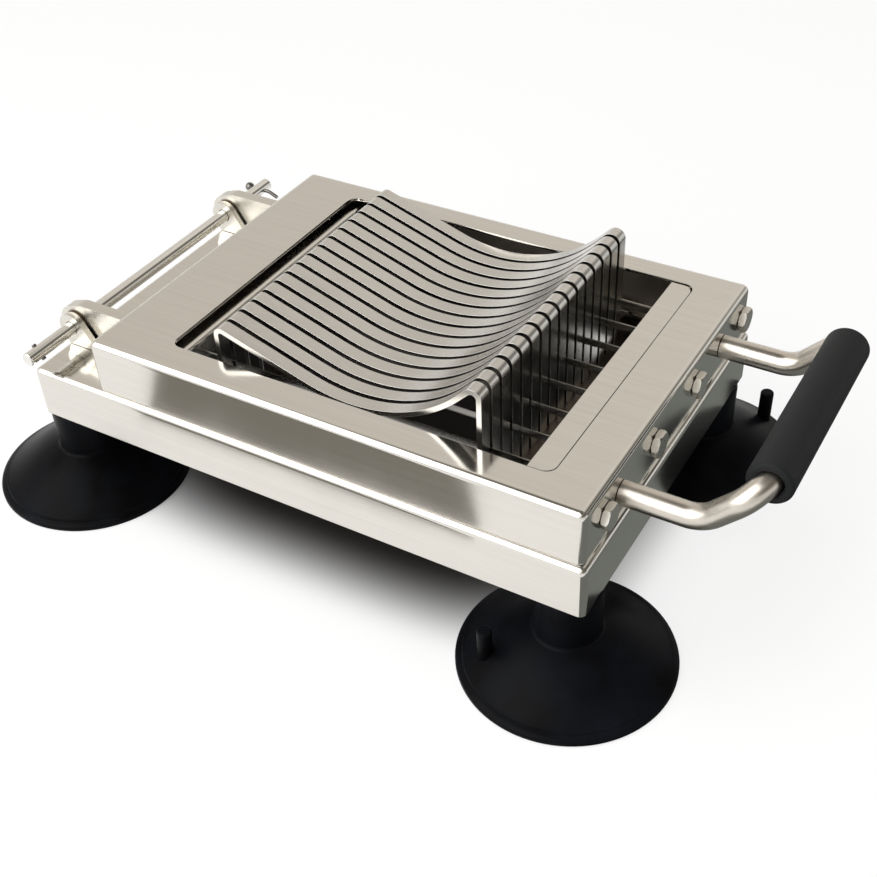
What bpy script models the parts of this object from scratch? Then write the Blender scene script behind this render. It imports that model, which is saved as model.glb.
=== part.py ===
"""Hand-lever vegetable stick cutter on four suction feet.

A sheet steel base frame carries a fixed cradle of bent bars. A hinged lid,
a sheet steel shell with a wide opening, carries the blades, which pass down
through the gaps between the bars when the handle is pressed.

+X runs from the hinge to the handle, +Y to the far side and +Z up. The
origin is on the ground under the middle of the whole cutter.
"""
import math

import bmesh
import bpy
from mathutils import Matrix, Vector

COLLECTION_NAME = "stick_cutter"

# General
SEAT_GAP = 0.0003
OVERRUN = 0.002
SHEET = 0.002
ROUND_SIDES = 24
SMALL_ROUND_SIDES = 16
HEXAGON_SIDES = 6
WELD_DISTANCE = 0.00001
SMOOTH_ANGLE = math.radians(40.0)
UPRIGHT_TURN = (0, math.radians(-90.0), 0)
CROSSWISE_TURN = (math.radians(90.0), 0, 0)

# Cradle of bent bars
BAR_COUNT = 16
BAR_PITCH = 0.0107
BAR_WIDTH = 0.0079
BAR_THICKNESS = 0.003
CRADLE_LENGTH = 0.1626
CRADLE_NEAR_GAP = 0.0070
CRADLE_FAR_GAP = 0.0053
TROUGH_RADIUS_SHARE = 0.54
TROUGH_LOW_SHARE = 0.52
TROUGH_DEPTH = 0.006
HINGE_SLOPE = math.radians(18.0)
HANDLE_SLOPE = math.radians(46.0)
HINGE_BEND = 0.005
HANDLE_BEND = 0.0055

# Lid shell and its opening
LID_HEIGHT = 0.032
LID_BEND = 0.004
OPENING_HINGE_GAP = 0.0259
OPENING_HANDLE_GAP = 0.0413
OPENING_CORNER = 0.006
LID_HINGE_RIM = 0.0426
LID_HANDLE_RIM = 0.0266
LID_NEAR_RIM = 0.0198
LID_FAR_RIM = 0.0166

# Base frame
BASE_HEIGHT = 0.0316
BASE_BEND = 0.004
BASE_LEDGE = 0.012
DECK_LENGTH = 0.048
LID_FLANGE = 0.0026

# Rails that the bars stand on
RAIL_WIDTH = 0.014
RAIL_HEIGHT = 0.012
RAIL_LIFT = 0.006

# Blades and their clamps
BLADE_THICKNESS = 0.0008
BLADE_HEIGHT = 0.0045
BLADE_DROP = 0.012
BLADE_GRIP = 0.005
HANDLE_CLAMP_WIDTH = 0.0128
HANDLE_CLAMP_HEIGHT = 0.024
CLAMP_SIDE_GAP = 0.0005
CLAMP_FAR_GAP = 0.002
HINGE_CLAMP_WIDTH = 0.011
HINGE_CLAMP_HEIGHT = 0.015
HINGE_CLAMP_DROP = 0.0053
HINGE_CLAMP_SHOW = 0.0068
HINGE_CLAMP_ROUND = 0.003

# Bolts that tension the blades
BOLT_SPREAD_SHARES = (0, 0.326, 0.626, 1)
BOLT_NEAR_INSET = 0.0234
BOLT_FAR_INSET = 0.0104
BOLT_RADIUS = 0.004
BOLT_HOLE_GAP = 0.0005
BOLT_HEAD_RADIUS = 0.0075
BOLT_HEAD_HEIGHT = 0.004
BOLT_BITE = 0.0055
BOLT_RISE = 0.0146

# Hinge
ROD_RADIUS = 0.004
ROD_BORE_GAP = 0.0003
ROD_INSET = 0.0065
ROD_RISE = 0.012
ROD_OVERHANG = 0.0067
ROD_CHAMFER = 0.0008
EAR_RADIUS = 0.0088
EAR_THICKNESS = 0.0036
EAR_ROUND = 0.0006
EAR_FOOT_FRONT = 0.0175
EAR_FOOT_BACK = 0.004
WASHER_THICKNESS = 0.0008
WASHER_RADIUS = 0.0086
LUG_RADIUS = 0.0116
LUG_CROWN = 0.0124
LUG_WIDTH = 0.0073
LUG_ROUND = 0.0012
NECK_RISE = 0.014
NECK_FALL = 0.0065
NECK_START = 0.006
NEAR_EAR_INSET = 0.0293
FAR_EAR_INSET = 0.1742
PIN_RADIUS = 0.0014
PIN_HEAD_RADIUS = 0.0033
PIN_TAIL = 0.0115
PIN_STUB = 0.0012
PIN_STUB_LEAN = math.radians(52.0)
PIN_NEAR_INSET = 0.0092
PIN_FAR_INSET = 0.0085

# Handle
TUBE_RADIUS = 0.0065
TUBE_WALL = 0.0012
TUBE_SIDES = 16
ARM_REACH = 0.041
ARM_SPACING = 0.135
ARM_RISE = 0.0147
HANDLE_TILT = math.radians(46.0)
HANDLE_SLANT = 0.0375
TILT_BEND = 0.020
CORNER_BEND = 0.016
GRIP_RADIUS = 0.0115
GRIP_LENGTH = 0.121
GRIP_ROUND = 0.0015

# Suction feet
CUP_RADIUS = 0.058
CUP_RIM_HEIGHT = 0.004
CUP_RIM_WIDTH = 0.007
CUP_STEP = 0.0015
CUP_NECK_RADIUS = 0.0178
CUP_NECK_FILLET = 0.003
CUP_DOME_HEIGHT = 0.024
CUP_HEIGHT = 0.0531
CUP_WALL = 0.008
CUP_HINGE_INSET = 0.011
CUP_HANDLE_INSET = 0.0163
CUP_SIDE_INSET = 0.018
CUP_BOLT_DEPTH = 0.017
CUP_SIDES = 28
DOME_SHARES = ((0.25, 0.84), (0.5, 0.6), (0.75, 0.34), (0.92, 0.16))
HOLLOW_SHARE = 0.6
NUB_RADIUS = 0.004
NUB_TOP = 0.030
NUB_SINK = 0.003
NUB_REACH_SHARES = {"near_hinge": 0.745, "far_hinge": 0.745, "near_handle": 0.745, "far_handle": 0.8}
NUB_TURN_SHARES = {"near_hinge": 0.125, "far_hinge": -0.125, "near_handle": 0.611, "far_handle": 0.153}
FOOT_BOLT_RADIUS = 0.004
FOOT_BOLT_HEAD_RADIUS = 0.0075
FOOT_BOLT_HEAD_HEIGHT = 0.0055
PLATE_THICKNESS = 0.003
PLATE_MARGIN = 0.018

# Places along X
CRADLE_FROM_LID = LID_HINGE_RIM + OPENING_HINGE_GAP
OPENING_LENGTH = OPENING_HINGE_GAP + CRADLE_LENGTH + OPENING_HANDLE_GAP
LID_LENGTH = LID_HINGE_RIM + OPENING_LENGTH + LID_HANDLE_RIM
BASE_LENGTH = DECK_LENGTH + LID_LENGTH + LID_FLANGE
CUP_OVERHANG = CUP_RADIUS - CUP_HINGE_INSET
GRIP_FROM_LID = SEAT_GAP + ARM_REACH + HANDLE_SLANT * math.cos(HANDLE_TILT)
GRIP_REACH = DECK_LENGTH + LID_LENGTH + GRIP_FROM_LID + GRIP_RADIUS
BASE_X = (CUP_OVERHANG - GRIP_REACH) / 2
LID_X = BASE_X + DECK_LENGTH
LID_END_X = LID_X + LID_LENGTH
OPENING_X = LID_X + LID_HINGE_RIM
OPENING_END_X = OPENING_X + OPENING_LENGTH
CRADLE_X = LID_X + CRADLE_FROM_LID
CRADLE_END_X = CRADLE_X + CRADLE_LENGTH
ROD_X = BASE_X + ROD_INSET
GRIP_X = LID_END_X + GRIP_FROM_LID

# Places along Y
CRADLE_WIDTH = (BAR_COUNT - 1) * BAR_PITCH + BAR_WIDTH
OPENING_WIDTH = CRADLE_NEAR_GAP + CRADLE_WIDTH + CRADLE_FAR_GAP
LID_WIDTH = LID_NEAR_RIM + OPENING_WIDTH + LID_FAR_RIM
BASE_WIDTH = LID_WIDTH + 2 * LID_FLANGE
BASE_Y = -BASE_WIDTH / 2
LID_Y = -LID_WIDTH / 2
OPENING_Y = LID_Y + LID_NEAR_RIM
CRADLE_Y = OPENING_Y + CRADLE_NEAR_GAP

# Places along Z
BASE_Z = CUP_HEIGHT + SEAT_GAP
DECK_Z = BASE_Z + BASE_HEIGHT
LID_Z = DECK_Z + SEAT_GAP
LID_TOP_Z = LID_Z + LID_HEIGHT
RAIL_Z = BASE_Z + RAIL_LIFT
LEG_Z = RAIL_Z + RAIL_HEIGHT + SEAT_GAP
BLADE_TOP_Z = LID_TOP_Z - BLADE_DROP
BOLT_Z = LID_Z + BOLT_RISE
ROD_Z = DECK_Z + ROD_RISE
ARM_Z = LID_Z + ARM_RISE
GRIP_Z = ARM_Z + HANDLE_SLANT * math.sin(HANDLE_TILT)

ROD_BORE = ROD_RADIUS + ROD_BORE_GAP


def clear_scene():
    for item in list(bpy.data.objects):
        bpy.data.objects.remove(item, do_unlink=True)


def new_collection(name):
    collection = bpy.data.collections.new(name)
    bpy.context.scene.collection.children.link(collection)
    return collection


def new_material(name, colour, roughness, metallic):
    material = bpy.data.materials.new(name)
    material.use_nodes = True
    shader = material.node_tree.nodes["Principled BSDF"]
    shader.inputs["Base Color"].default_value = (*colour, 1)
    shader.inputs["Roughness"].default_value = roughness
    shader.inputs["Metallic"].default_value = metallic
    return material


clear_scene()
PARTS = new_collection(COLLECTION_NAME)
CUTTERS = new_collection("cutters")

def hinge_empty():
    """The lid's pivot, on the rod's axis."""
    pivot = bpy.data.objects.new("lid_pivot", None)
    pivot.location = (ROD_X, 0, ROD_Z)
    PARTS.objects.link(pivot)
    return pivot


PIVOT = hinge_empty()


def place(name, data, location, kind, on_lid=False):
    """Link a named piece at a world place, with a material of its own."""
    colour, roughness, metallic = kind
    piece = bpy.data.objects.new(name, data)
    PARTS.objects.link(piece)
    if on_lid:
        piece.parent = PIVOT
        piece.location = Vector(location) - PIVOT.location
    else:
        piece.location = location
    piece.data.materials.clear()
    piece.data.materials.append(new_material(name, colour, roughness, metallic))
    return piece


# Colour, roughness and metallic value of each kind of material
STEEL = ((0.68, 0.67, 0.64), 0.32, 1.0)
BLADE_STEEL = ((0.75, 0.75, 0.76), 0.2, 1.0)
RUBBER = ((0.012, 0.012, 0.013), 0.35, 0.0)
FOAM = ((0.02, 0.02, 0.022), 0.8, 0.0)


def as_cutter(name, mesh, location=(0, 0, 0), turn=(0, 0, 0), parent=None):
    """Link a hidden shape that cuts or joins another."""
    cutter = bpy.data.objects.new(name, mesh)
    CUTTERS.objects.link(cutter)
    cutter.location = location
    cutter.rotation_euler = turn
    if parent:
        cutter.parent = parent
    cutter.hide_render = True
    cutter.display_type = "WIRE"
    return cutter


def combine(piece, cutter, operation="DIFFERENCE"):
    modifier = piece.modifiers.new(operation.lower(), "BOOLEAN")
    modifier.operation = operation
    modifier.solver = "EXACT"
    modifier.object = cutter


def solidify(piece, thickness):
    """Give an open surface its thickness, on the inner side."""
    modifier = piece.modifiers.new("thickness", "SOLIDIFY")
    modifier.thickness = thickness
    modifier.offset = -1
    modifier.use_even_offset = True


def bevel(piece, width, segments=2):
    modifier = piece.modifiers.new("rounding", "BEVEL")
    modifier.width = width
    modifier.segments = segments
    modifier.limit_method = "ANGLE"
    modifier.angle_limit = SMOOTH_ANGLE


def finish_mesh(work, name, smooth=False):
    mesh = bpy.data.meshes.new(name)
    bmesh.ops.recalc_face_normals(work, faces=work.faces)
    work.to_mesh(mesh)
    work.free()
    if smooth:
        mesh.shade_smooth()
        mesh.set_sharp_from_angle(angle=SMOOTH_ANGLE)
    return mesh


def box_mesh(name, size, corner=0, from_x=-1):
    """A box standing on its own origin corner. Its upright edges beyond from_x are rounded if asked."""
    work = bmesh.new()
    bmesh.ops.create_cube(work, size=1)
    bmesh.ops.scale(work, vec=size, verts=work.verts)
    bmesh.ops.translate(work, vec=Vector(size) / 2, verts=work.verts)
    if corner:
        upright = [edge for edge in work.edges if is_upright(edge) and edge.verts[0].co.x > from_x]
        bmesh.ops.bevel(work, geom=upright, offset=corner, segments=4, profile=0.5, affect="EDGES")
    return finish_mesh(work, name)


def is_upright(edge):
    first, last = (vert.co for vert in edge.verts)
    return abs(first.x - last.x) < SEAT_GAP and abs(first.y - last.y) < SEAT_GAP


def bar_mesh_along_x(name, radius, length, sides):
    """A cylinder from x = 0 to x = length."""
    work = bmesh.new()
    bmesh.ops.create_cone(work, cap_ends=True, segments=sides, radius1=radius, radius2=radius, depth=length)
    bmesh.ops.translate(work, vec=(0, 0, length / 2), verts=work.verts)
    mesh = finish_mesh(work, name, smooth=True)
    mesh.transform(Vector((0, 0, 1)).rotation_difference(Vector((1, 0, 0))).to_matrix().to_4x4())
    return mesh


def turned_mesh(name, profile, closed=False):
    """The profile of a turned piece, as (radius, height) points."""
    work = bmesh.new()
    verts = [work.verts.new((radius, 0, height)) for radius, height in profile]
    for first, last in zip(verts, verts[1:]):
        work.edges.new((first, last))
    if closed:
        work.edges.new((verts[-1], verts[0]))
    mesh = bpy.data.meshes.new(name)
    work.to_mesh(mesh)
    work.free()
    return mesh


def turn_profile(piece, steps=ROUND_SIDES):
    modifier = piece.modifiers.new("turning", "SCREW")
    modifier.axis = "Z"
    modifier.steps = steps
    modifier.render_steps = steps
    modifier.use_merge_vertices = True
    modifier.merge_threshold = WELD_DISTANCE
    modifier.use_smooth_shade = True


def outline_piece(name, outline, thickness, location, bore, on_lid=False):
    """A steel plate in the XZ plane, thickness along +Y, from an outline of (x, z) points.

    It is bored at its origin.
    """
    curve = bpy.data.curves.new(name, "CURVE")
    curve.dimensions = "2D"
    curve.fill_mode = "BOTH"
    curve.extrude = thickness / 2
    for points in (outline, circle_points(0, 0, bore, ROUND_SIDES)):
        spline = curve.splines.new("POLY")
        spline.points.add(len(points) - 1)
        for point, (x, z) in zip(spline.points, points):
            point.co = (x, z, 0, 1)
        spline.use_cyclic_u = True
    flat = bpy.data.objects.new(name + "_curve", curve)
    CUTTERS.objects.link(flat)
    mesh = mesh_of_curve(flat, name)
    turn = Vector((0, 0, 1)).rotation_difference(Vector((0, -1, 0))).to_matrix().to_4x4()
    mesh.transform(turn)
    for vert in mesh.vertices:
        vert.co.y += thickness / 2
    return place(name, mesh, location, STEEL, on_lid)


def mesh_of_curve(item, name):
    """The evaluated curve as a welded mesh; the curve is removed."""
    bpy.context.view_layer.update()
    evaluated = item.evaluated_get(bpy.context.evaluated_depsgraph_get())
    mesh = bpy.data.meshes.new_from_object(evaluated)
    mesh.name = name
    mesh.transform(item.matrix_world)
    work = bmesh.new()
    work.from_mesh(mesh)
    bmesh.ops.remove_doubles(work, verts=work.verts, dist=WELD_DISTANCE)
    bmesh.ops.recalc_face_normals(work, faces=work.faces)
    work.to_mesh(mesh)
    work.free()
    bpy.data.objects.remove(item, do_unlink=True)
    return mesh


def arc_points(centre_x, centre_z, radius, start, end, count):
    """Points on an arc between two angles in degrees."""
    points = []
    for step in range(count + 1):
        angle = math.radians(start + (end - start) * step / count)
        points.append((centre_x + radius * math.cos(angle), centre_z + radius * math.sin(angle)))
    return points


def circle_points(centre_x, centre_z, radius, count):
    return arc_points(centre_x, centre_z, radius, 0, 360, count)[:-1]


def open_box(name, size, bend):
    """A sheet box without a bottom, its top edges bent round."""
    work = bmesh.new()
    bmesh.ops.create_cube(work, size=1)
    bmesh.ops.scale(work, vec=size, verts=work.verts)
    bmesh.ops.translate(work, vec=Vector(size) / 2, verts=work.verts)
    low = [face for face in work.faces if face.normal.z < -0.5]
    bmesh.ops.delete(work, geom=low, context="FACES_ONLY")
    high = [edge for edge in work.edges if min(vert.co.z for vert in edge.verts) > size[2] / 2]
    bmesh.ops.bevel(work, geom=high, offset=bend, segments=3, profile=0.5, affect="EDGES")
    mesh = bpy.data.meshes.new(name)
    work.to_mesh(mesh)
    work.free()
    mesh.shade_smooth()
    mesh.set_sharp_from_angle(angle=SMOOTH_ANGLE)
    return mesh


def build_base():
    size = (BASE_LENGTH, BASE_WIDTH, BASE_HEIGHT)
    base = place("base_frame", open_box("base_frame", size, BASE_BEND), (BASE_X, BASE_Y, BASE_Z), STEEL)
    solidify(base, SHEET)
    window_length = LID_LENGTH - 2 * BASE_LEDGE
    window_width = LID_WIDTH - 2 * BASE_LEDGE
    window = box_mesh("base_window", (window_length, window_width, BASE_HEIGHT), OPENING_CORNER)
    window_place = (LID_X + BASE_LEDGE, LID_Y + BASE_LEDGE, DECK_Z - BASE_HEIGHT / 2)
    combine(base, as_cutter("base_window", window, window_place))


def build_rails():
    """Two cross rails under the ends of the cradle, between the long walls."""
    length = BASE_WIDTH - 2 * (SHEET + SEAT_GAP)
    centres = {
        "cradle_rail_hinge": CRADLE_X + BAR_THICKNESS / 2,
        "cradle_rail_handle": CRADLE_END_X - BAR_THICKNESS / 2,
    }
    for name, centre in centres.items():
        mesh = box_mesh(name, (RAIL_WIDTH, length, RAIL_HEIGHT))
        place(name, mesh, (centre - RAIL_WIDTH / 2, -length / 2, RAIL_Z), STEEL)


def bar_profile():
    """The outer face of one bar, from the foot of its hinge leg to that of its handle leg.

    x starts at the hinge leg and z at the feet. The top runs down at the hinge slope,
    through the round trough, and up at the handle slope to the handle bend.
    """
    radius = TROUGH_RADIUS_SHARE * CRADLE_LENGTH
    low_x = TROUGH_LOW_SHARE * CRADLE_LENGTH
    low_z = LID_TOP_Z - TROUGH_DEPTH - LEG_Z
    down = math.degrees(HINGE_SLOPE)
    rise = math.degrees(HANDLE_SLOPE)
    trough = arc_points(low_x, low_z + radius, radius, 270 - down, 270 + rise, 12)
    hinge_z = bend_height(trough[0], HINGE_BEND, HINGE_BEND, 90 - down)
    handle_z = bend_height(trough[-1], CRADLE_LENGTH - HANDLE_BEND, HANDLE_BEND, 90 + rise)
    hinge_bend = arc_points(HINGE_BEND, hinge_z, HINGE_BEND, 180, 90 - down, 4)
    handle_bend = arc_points(CRADLE_LENGTH - HANDLE_BEND, handle_z, HANDLE_BEND, 90 + rise, 0, 5)
    return [(0, 0)] + hinge_bend + trough + handle_bend + [(CRADLE_LENGTH, 0)]


def bend_height(point, centre_x, radius, angle):
    """Height of a bend's centre, where a straight through the point meets it at the angle."""
    normal_x = math.cos(math.radians(angle))
    normal_z = math.sin(math.radians(angle))
    along = normal_x * point[0] + normal_z * point[1]
    return (along - radius - normal_x * centre_x) / normal_z


def build_bars():
    profile = bar_profile()
    for number in range(1, BAR_COUNT + 1):
        name = "cradle_bar_{:02d}".format(number)
        work = bmesh.new()
        near = [work.verts.new((x, 0, z)) for x, z in profile]
        far = [work.verts.new((x, BAR_WIDTH, z)) for x, z in profile]
        for step in range(len(profile) - 1):
            work.faces.new((near[step], near[step + 1], far[step + 1], far[step]))
        mesh = bpy.data.meshes.new(name)
        work.to_mesh(mesh)
        work.free()
        mesh.shade_smooth()
        mesh.set_sharp_from_angle(angle=SMOOTH_ANGLE)
        near_y = CRADLE_Y + (number - 1) * BAR_PITCH
        solidify(place(name, mesh, (CRADLE_X, near_y, LEG_Z), STEEL), BAR_THICKNESS)


def bolt_places():
    """Y places of the tension bolts along the handle side."""
    first = LID_Y + BOLT_NEAR_INSET
    spread = LID_WIDTH - BOLT_NEAR_INSET - BOLT_FAR_INSET
    return [first + spread * share for share in BOLT_SPREAD_SHARES]


def build_lid():
    size = (LID_LENGTH, LID_WIDTH, LID_HEIGHT)
    lid = place("lid_shell", open_box("lid_shell", size, LID_BEND), (LID_X, LID_Y, LID_Z), STEEL, on_lid=True)
    solidify(lid, SHEET)
    window = box_mesh("lid_window", (OPENING_LENGTH, OPENING_WIDTH, LID_HEIGHT), OPENING_CORNER)
    window_place = (OPENING_X, OPENING_Y, LID_TOP_Z - LID_HEIGHT / 2)
    combine(lid, as_cutter("lid_window", window, window_place))
    for number, y in enumerate(bolt_places(), 1):
        name = "bolt_hole_{}".format(number)
        length = SHEET + 2 * OVERRUN
        mesh = bar_mesh_along_x(name, BOLT_RADIUS + BOLT_HOLE_GAP, length, SMALL_ROUND_SIDES)
        combine(lid, as_cutter(name, mesh, (LID_END_X - SHEET - OVERRUN, y, BOLT_Z)))


def blade_places():
    """Y places of the blades: every second gap between the bars, from the first."""
    first = CRADLE_Y + BAR_WIDTH + (BAR_PITCH - BAR_WIDTH) / 2
    return [first + step * BAR_PITCH for step in range(0, BAR_COUNT - 1, 2)]


HINGE_CLAMP_X = OPENING_X + HINGE_CLAMP_SHOW - HINGE_CLAMP_WIDTH
HINGE_CLAMP_END_X = OPENING_X + HINGE_CLAMP_SHOW
HANDLE_CLAMP_X = OPENING_END_X - CLAMP_SIDE_GAP - HANDLE_CLAMP_WIDTH
HINGE_CLAMP_Z = LID_TOP_Z - HINGE_CLAMP_DROP - HINGE_CLAMP_HEIGHT
HANDLE_CLAMP_Z = LID_TOP_Z - HANDLE_CLAMP_HEIGHT


def cut_blade_pockets(clamp, start):
    """Pockets in a clamp's inner face, one for each blade's end."""
    for number, y in enumerate(blade_places(), 1):
        name = "{}_pocket_{}".format(clamp.name, number)
        length = BLADE_GRIP + OVERRUN
        width = BLADE_THICKNESS + 2 * SEAT_GAP
        height = BLADE_HEIGHT + 2 * SEAT_GAP
        low = BLADE_TOP_Z - BLADE_HEIGHT - SEAT_GAP
        mesh = box_mesh(name, (length, width, height))
        combine(clamp, as_cutter(name, mesh, (start, y - width / 2, low)))


def build_clamps():
    inner_width = LID_WIDTH - 2 * (SHEET + SEAT_GAP)
    size = (HINGE_CLAMP_WIDTH, inner_width, HINGE_CLAMP_HEIGHT)
    spot = (HINGE_CLAMP_X, -inner_width / 2, HINGE_CLAMP_Z)
    hinge_clamp = place("blade_clamp_hinge", box_mesh("blade_clamp_hinge", size), spot, STEEL, on_lid=True)
    bevel(hinge_clamp, HINGE_CLAMP_ROUND)
    cut_blade_pockets(hinge_clamp, HINGE_CLAMP_END_X - BLADE_GRIP)
    build_handle_clamp(inner_width)


def build_handle_clamp(inner_width):
    """A bar across the inside of the lid, its top strip standing flush in the opening."""
    low_height = HANDLE_CLAMP_HEIGHT - LID_BEND - SEAT_GAP
    size = (HANDLE_CLAMP_WIDTH, inner_width, low_height)
    spot = (HANDLE_CLAMP_X, -inner_width / 2, HANDLE_CLAMP_Z)
    handle_clamp = place("blade_clamp_handle", box_mesh("blade_clamp_handle", size), spot, STEEL, on_lid=True)
    strip_length = OPENING_WIDTH - CLAMP_SIDE_GAP - CLAMP_FAR_GAP
    strip_size = (HANDLE_CLAMP_WIDTH, strip_length, HANDLE_CLAMP_HEIGHT / 2)
    strip = box_mesh("clamp_strip", strip_size, OPENING_CORNER, HANDLE_CLAMP_WIDTH / 2)
    strip_spot = (HANDLE_CLAMP_X, OPENING_Y + CLAMP_SIDE_GAP, LID_TOP_Z - HANDLE_CLAMP_HEIGHT / 2)
    combine(handle_clamp, as_cutter("clamp_strip", strip, strip_spot), "UNION")
    cut_blade_pockets(handle_clamp, HANDLE_CLAMP_X - OVERRUN)
    for number, y in enumerate(bolt_places(), 1):
        name = "bolt_seat_{}".format(number)
        mesh = bar_mesh_along_x(name, BOLT_RADIUS + SEAT_GAP, BOLT_BITE + OVERRUN, SMALL_ROUND_SIDES)
        start = HANDLE_CLAMP_X + HANDLE_CLAMP_WIDTH - BOLT_BITE
        combine(handle_clamp, as_cutter(name, mesh, (start, y, BOLT_Z)))


def build_blades():
    start = HINGE_CLAMP_END_X - BLADE_GRIP + SEAT_GAP
    length = HANDLE_CLAMP_X + BLADE_GRIP - SEAT_GAP - start
    for number, y in enumerate(blade_places(), 1):
        name = "blade_{}".format(number)
        mesh = box_mesh(name, (length, BLADE_THICKNESS, BLADE_HEIGHT))
        spot = (start, y - BLADE_THICKNESS / 2, BLADE_TOP_Z - BLADE_HEIGHT)
        place(name, mesh, spot, BLADE_STEEL, on_lid=True)


def build_bolts():
    """Hexagon bolts from outside the handle wall into the clamp."""
    start = HANDLE_CLAMP_X + HANDLE_CLAMP_WIDTH - BOLT_BITE + SEAT_GAP
    wall = LID_END_X + SEAT_GAP
    for number, y in enumerate(bolt_places(), 1):
        name = "tension_bolt_{}".format(number)
        length = wall + BOLT_HEAD_HEIGHT / 2 - start
        shank = bar_mesh_along_x(name, BOLT_RADIUS, length, SMALL_ROUND_SIDES)
        bolt = place(name, shank, (start, y, BOLT_Z), STEEL, on_lid=True)
        head = bar_mesh_along_x(name + "_head", BOLT_HEAD_RADIUS, BOLT_HEAD_HEIGHT, HEXAGON_SIDES)
        combine(bolt, as_cutter(name + "_head", head, (wall, y, BOLT_Z)), "UNION")


def ear_outline():
    """The round eye on a foot that reaches forward on the deck."""
    foot = SEAT_GAP - ROD_RISE
    eye = arc_points(0, 0, EAR_RADIUS, 22, 222, 15)
    return [(EAR_FOOT_FRONT, foot)] + eye + [(-EAR_FOOT_BACK, foot)]


def lug_outline():
    """The round eye, its crown rising into the neck that runs to the lid's hinge wall."""
    wall = DECK_LENGTH - ROD_INSET - SEAT_GAP
    crown = arc_points(0, 0, LUG_CROWN, 92, 128, 3)
    eye = arc_points(0, 0, LUG_RADIUS, 150, 305, 12)
    return [(wall, NECK_RISE), (NECK_START, NECK_RISE)] + crown + eye + [(wall, -NECK_FALL)]


def build_hinge():
    """At each end an ear on the deck, a washer and the lid's lug, all on one rod."""
    for side, inset in (("near", NEAR_EAR_INSET), ("far", FAR_EAR_INSET)):
        ear_y = BASE_Y + inset
        ear = outline_piece("base_ear_" + side, ear_outline(), EAR_THICKNESS, (ROD_X, ear_y, ROD_Z), ROD_BORE)
        bevel(ear, EAR_ROUND)
        washer_y = ear_y + EAR_THICKNESS + SEAT_GAP
        build_washer("hinge_washer_" + side, washer_y)
        lug_place = (ROD_X, washer_y + WASHER_THICKNESS + SEAT_GAP, ROD_Z)
        lug = outline_piece("lid_lug_" + side, lug_outline(), LUG_WIDTH, lug_place, ROD_BORE, on_lid=True)
        bevel(lug, LUG_ROUND)


def build_washer(name, y):
    """A thin ring round the rod from y on."""
    outer = [(WASHER_RADIUS, 0), (WASHER_RADIUS, -WASHER_THICKNESS)]
    ring = outer + [(ROD_BORE, -WASHER_THICKNESS), (ROD_BORE, 0)]
    washer = place(name, turned_mesh(name, ring, closed=True), (ROD_X, y, ROD_Z), STEEL)
    washer.rotation_euler = CROSSWISE_TURN
    turn_profile(washer)


def build_rod():
    near_y = BASE_Y - ROD_OVERHANG
    length = BASE_WIDTH + ROD_OVERHANG
    slim = ROD_RADIUS - ROD_CHAMFER
    profile = [(0, length), (slim, length), (ROD_RADIUS, length - ROD_CHAMFER)]
    profile += [(ROD_RADIUS, ROD_CHAMFER), (slim, 0), (0, 0)]
    rod = place("hinge_rod", turned_mesh("hinge_rod", profile), (ROD_X, near_y + length, ROD_Z), STEEL)
    rod.rotation_euler = CROSSWISE_TURN
    turn_profile(rod)
    build_near_pin(rod, near_y + PIN_NEAR_INSET)
    build_far_pin(rod, near_y + length - PIN_FAR_INSET)


def bore_rod(rod, name, y, lean):
    """A cross hole for a pin, level or leaning up on the side away from the lid."""
    half = ROD_RADIUS + OVERRUN
    hole = bar_mesh_along_x(name, PIN_RADIUS + SEAT_GAP, 2 * half, SMALL_ROUND_SIDES)
    start = (ROD_X - half * math.cos(lean), y, ROD_Z + half * math.sin(lean))
    combine(rod, as_cutter(name, hole, start, (0, lean, 0)))


def build_near_pin(rod, y):
    """A plain leaning pin, its two ends a little proud of the rod."""
    bore_rod(rod, "near_pin_hole", y, PIN_STUB_LEAN)
    half = ROD_RADIUS + PIN_STUB
    mesh = bar_mesh_along_x("rod_pin_near", PIN_RADIUS, 2 * half, SMALL_ROUND_SIDES)
    start = (ROD_X - half * math.cos(PIN_STUB_LEAN), y, ROD_Z + half * math.sin(PIN_STUB_LEAN))
    pin = place("rod_pin_near", mesh, start, STEEL)
    pin.rotation_euler = (0, PIN_STUB_LEAN, 0)


def build_far_pin(rod, y):
    """A pin with a ball head on the side away from the lid and a long tail."""
    bore_rod(rod, "far_pin_hole", y, 0)
    neck = math.degrees(math.asin(PIN_RADIUS / PIN_HEAD_RADIUS))
    profile = [(0, PIN_HEAD_RADIUS)] + arc_points(0, 0, PIN_HEAD_RADIUS, 70, neck - 90, 7)
    tail = PIN_HEAD_RADIUS + SEAT_GAP + 2 * ROD_RADIUS + PIN_TAIL
    profile += [(PIN_RADIUS, -tail), (0, -tail)]
    centre_x = ROD_X - ROD_RADIUS - SEAT_GAP - PIN_HEAD_RADIUS
    pin = place("rod_pin_far", turned_mesh("rod_pin_far", profile), (centre_x, y, ROD_Z), STEEL)
    pin.rotation_euler = UPRIGHT_TURN
    turn_profile(pin, SMALL_ROUND_SIDES)


def handle_path():
    """Centre line of the handle tube, from its near wall end to its far wall end."""
    half = ARM_SPACING / 2
    outward = Vector((1, 0, 0))
    slanted = Vector((math.cos(HANDLE_TILT), 0, math.sin(HANDLE_TILT)))
    across = Vector((0, 1, 0))
    root = Vector((LID_END_X + SEAT_GAP, -half, ARM_Z))
    knee = root + outward * ARM_REACH
    corner = knee + slanted * HANDLE_SLANT
    points = [root]
    points += bend_points(knee, outward, slanted, TILT_BEND, 5)
    points += bend_points(corner, slanted, across, CORNER_BEND, 7)
    mirrored = [Vector((point.x, -point.y, point.z)) for point in reversed(points)]
    return points + mirrored


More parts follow.
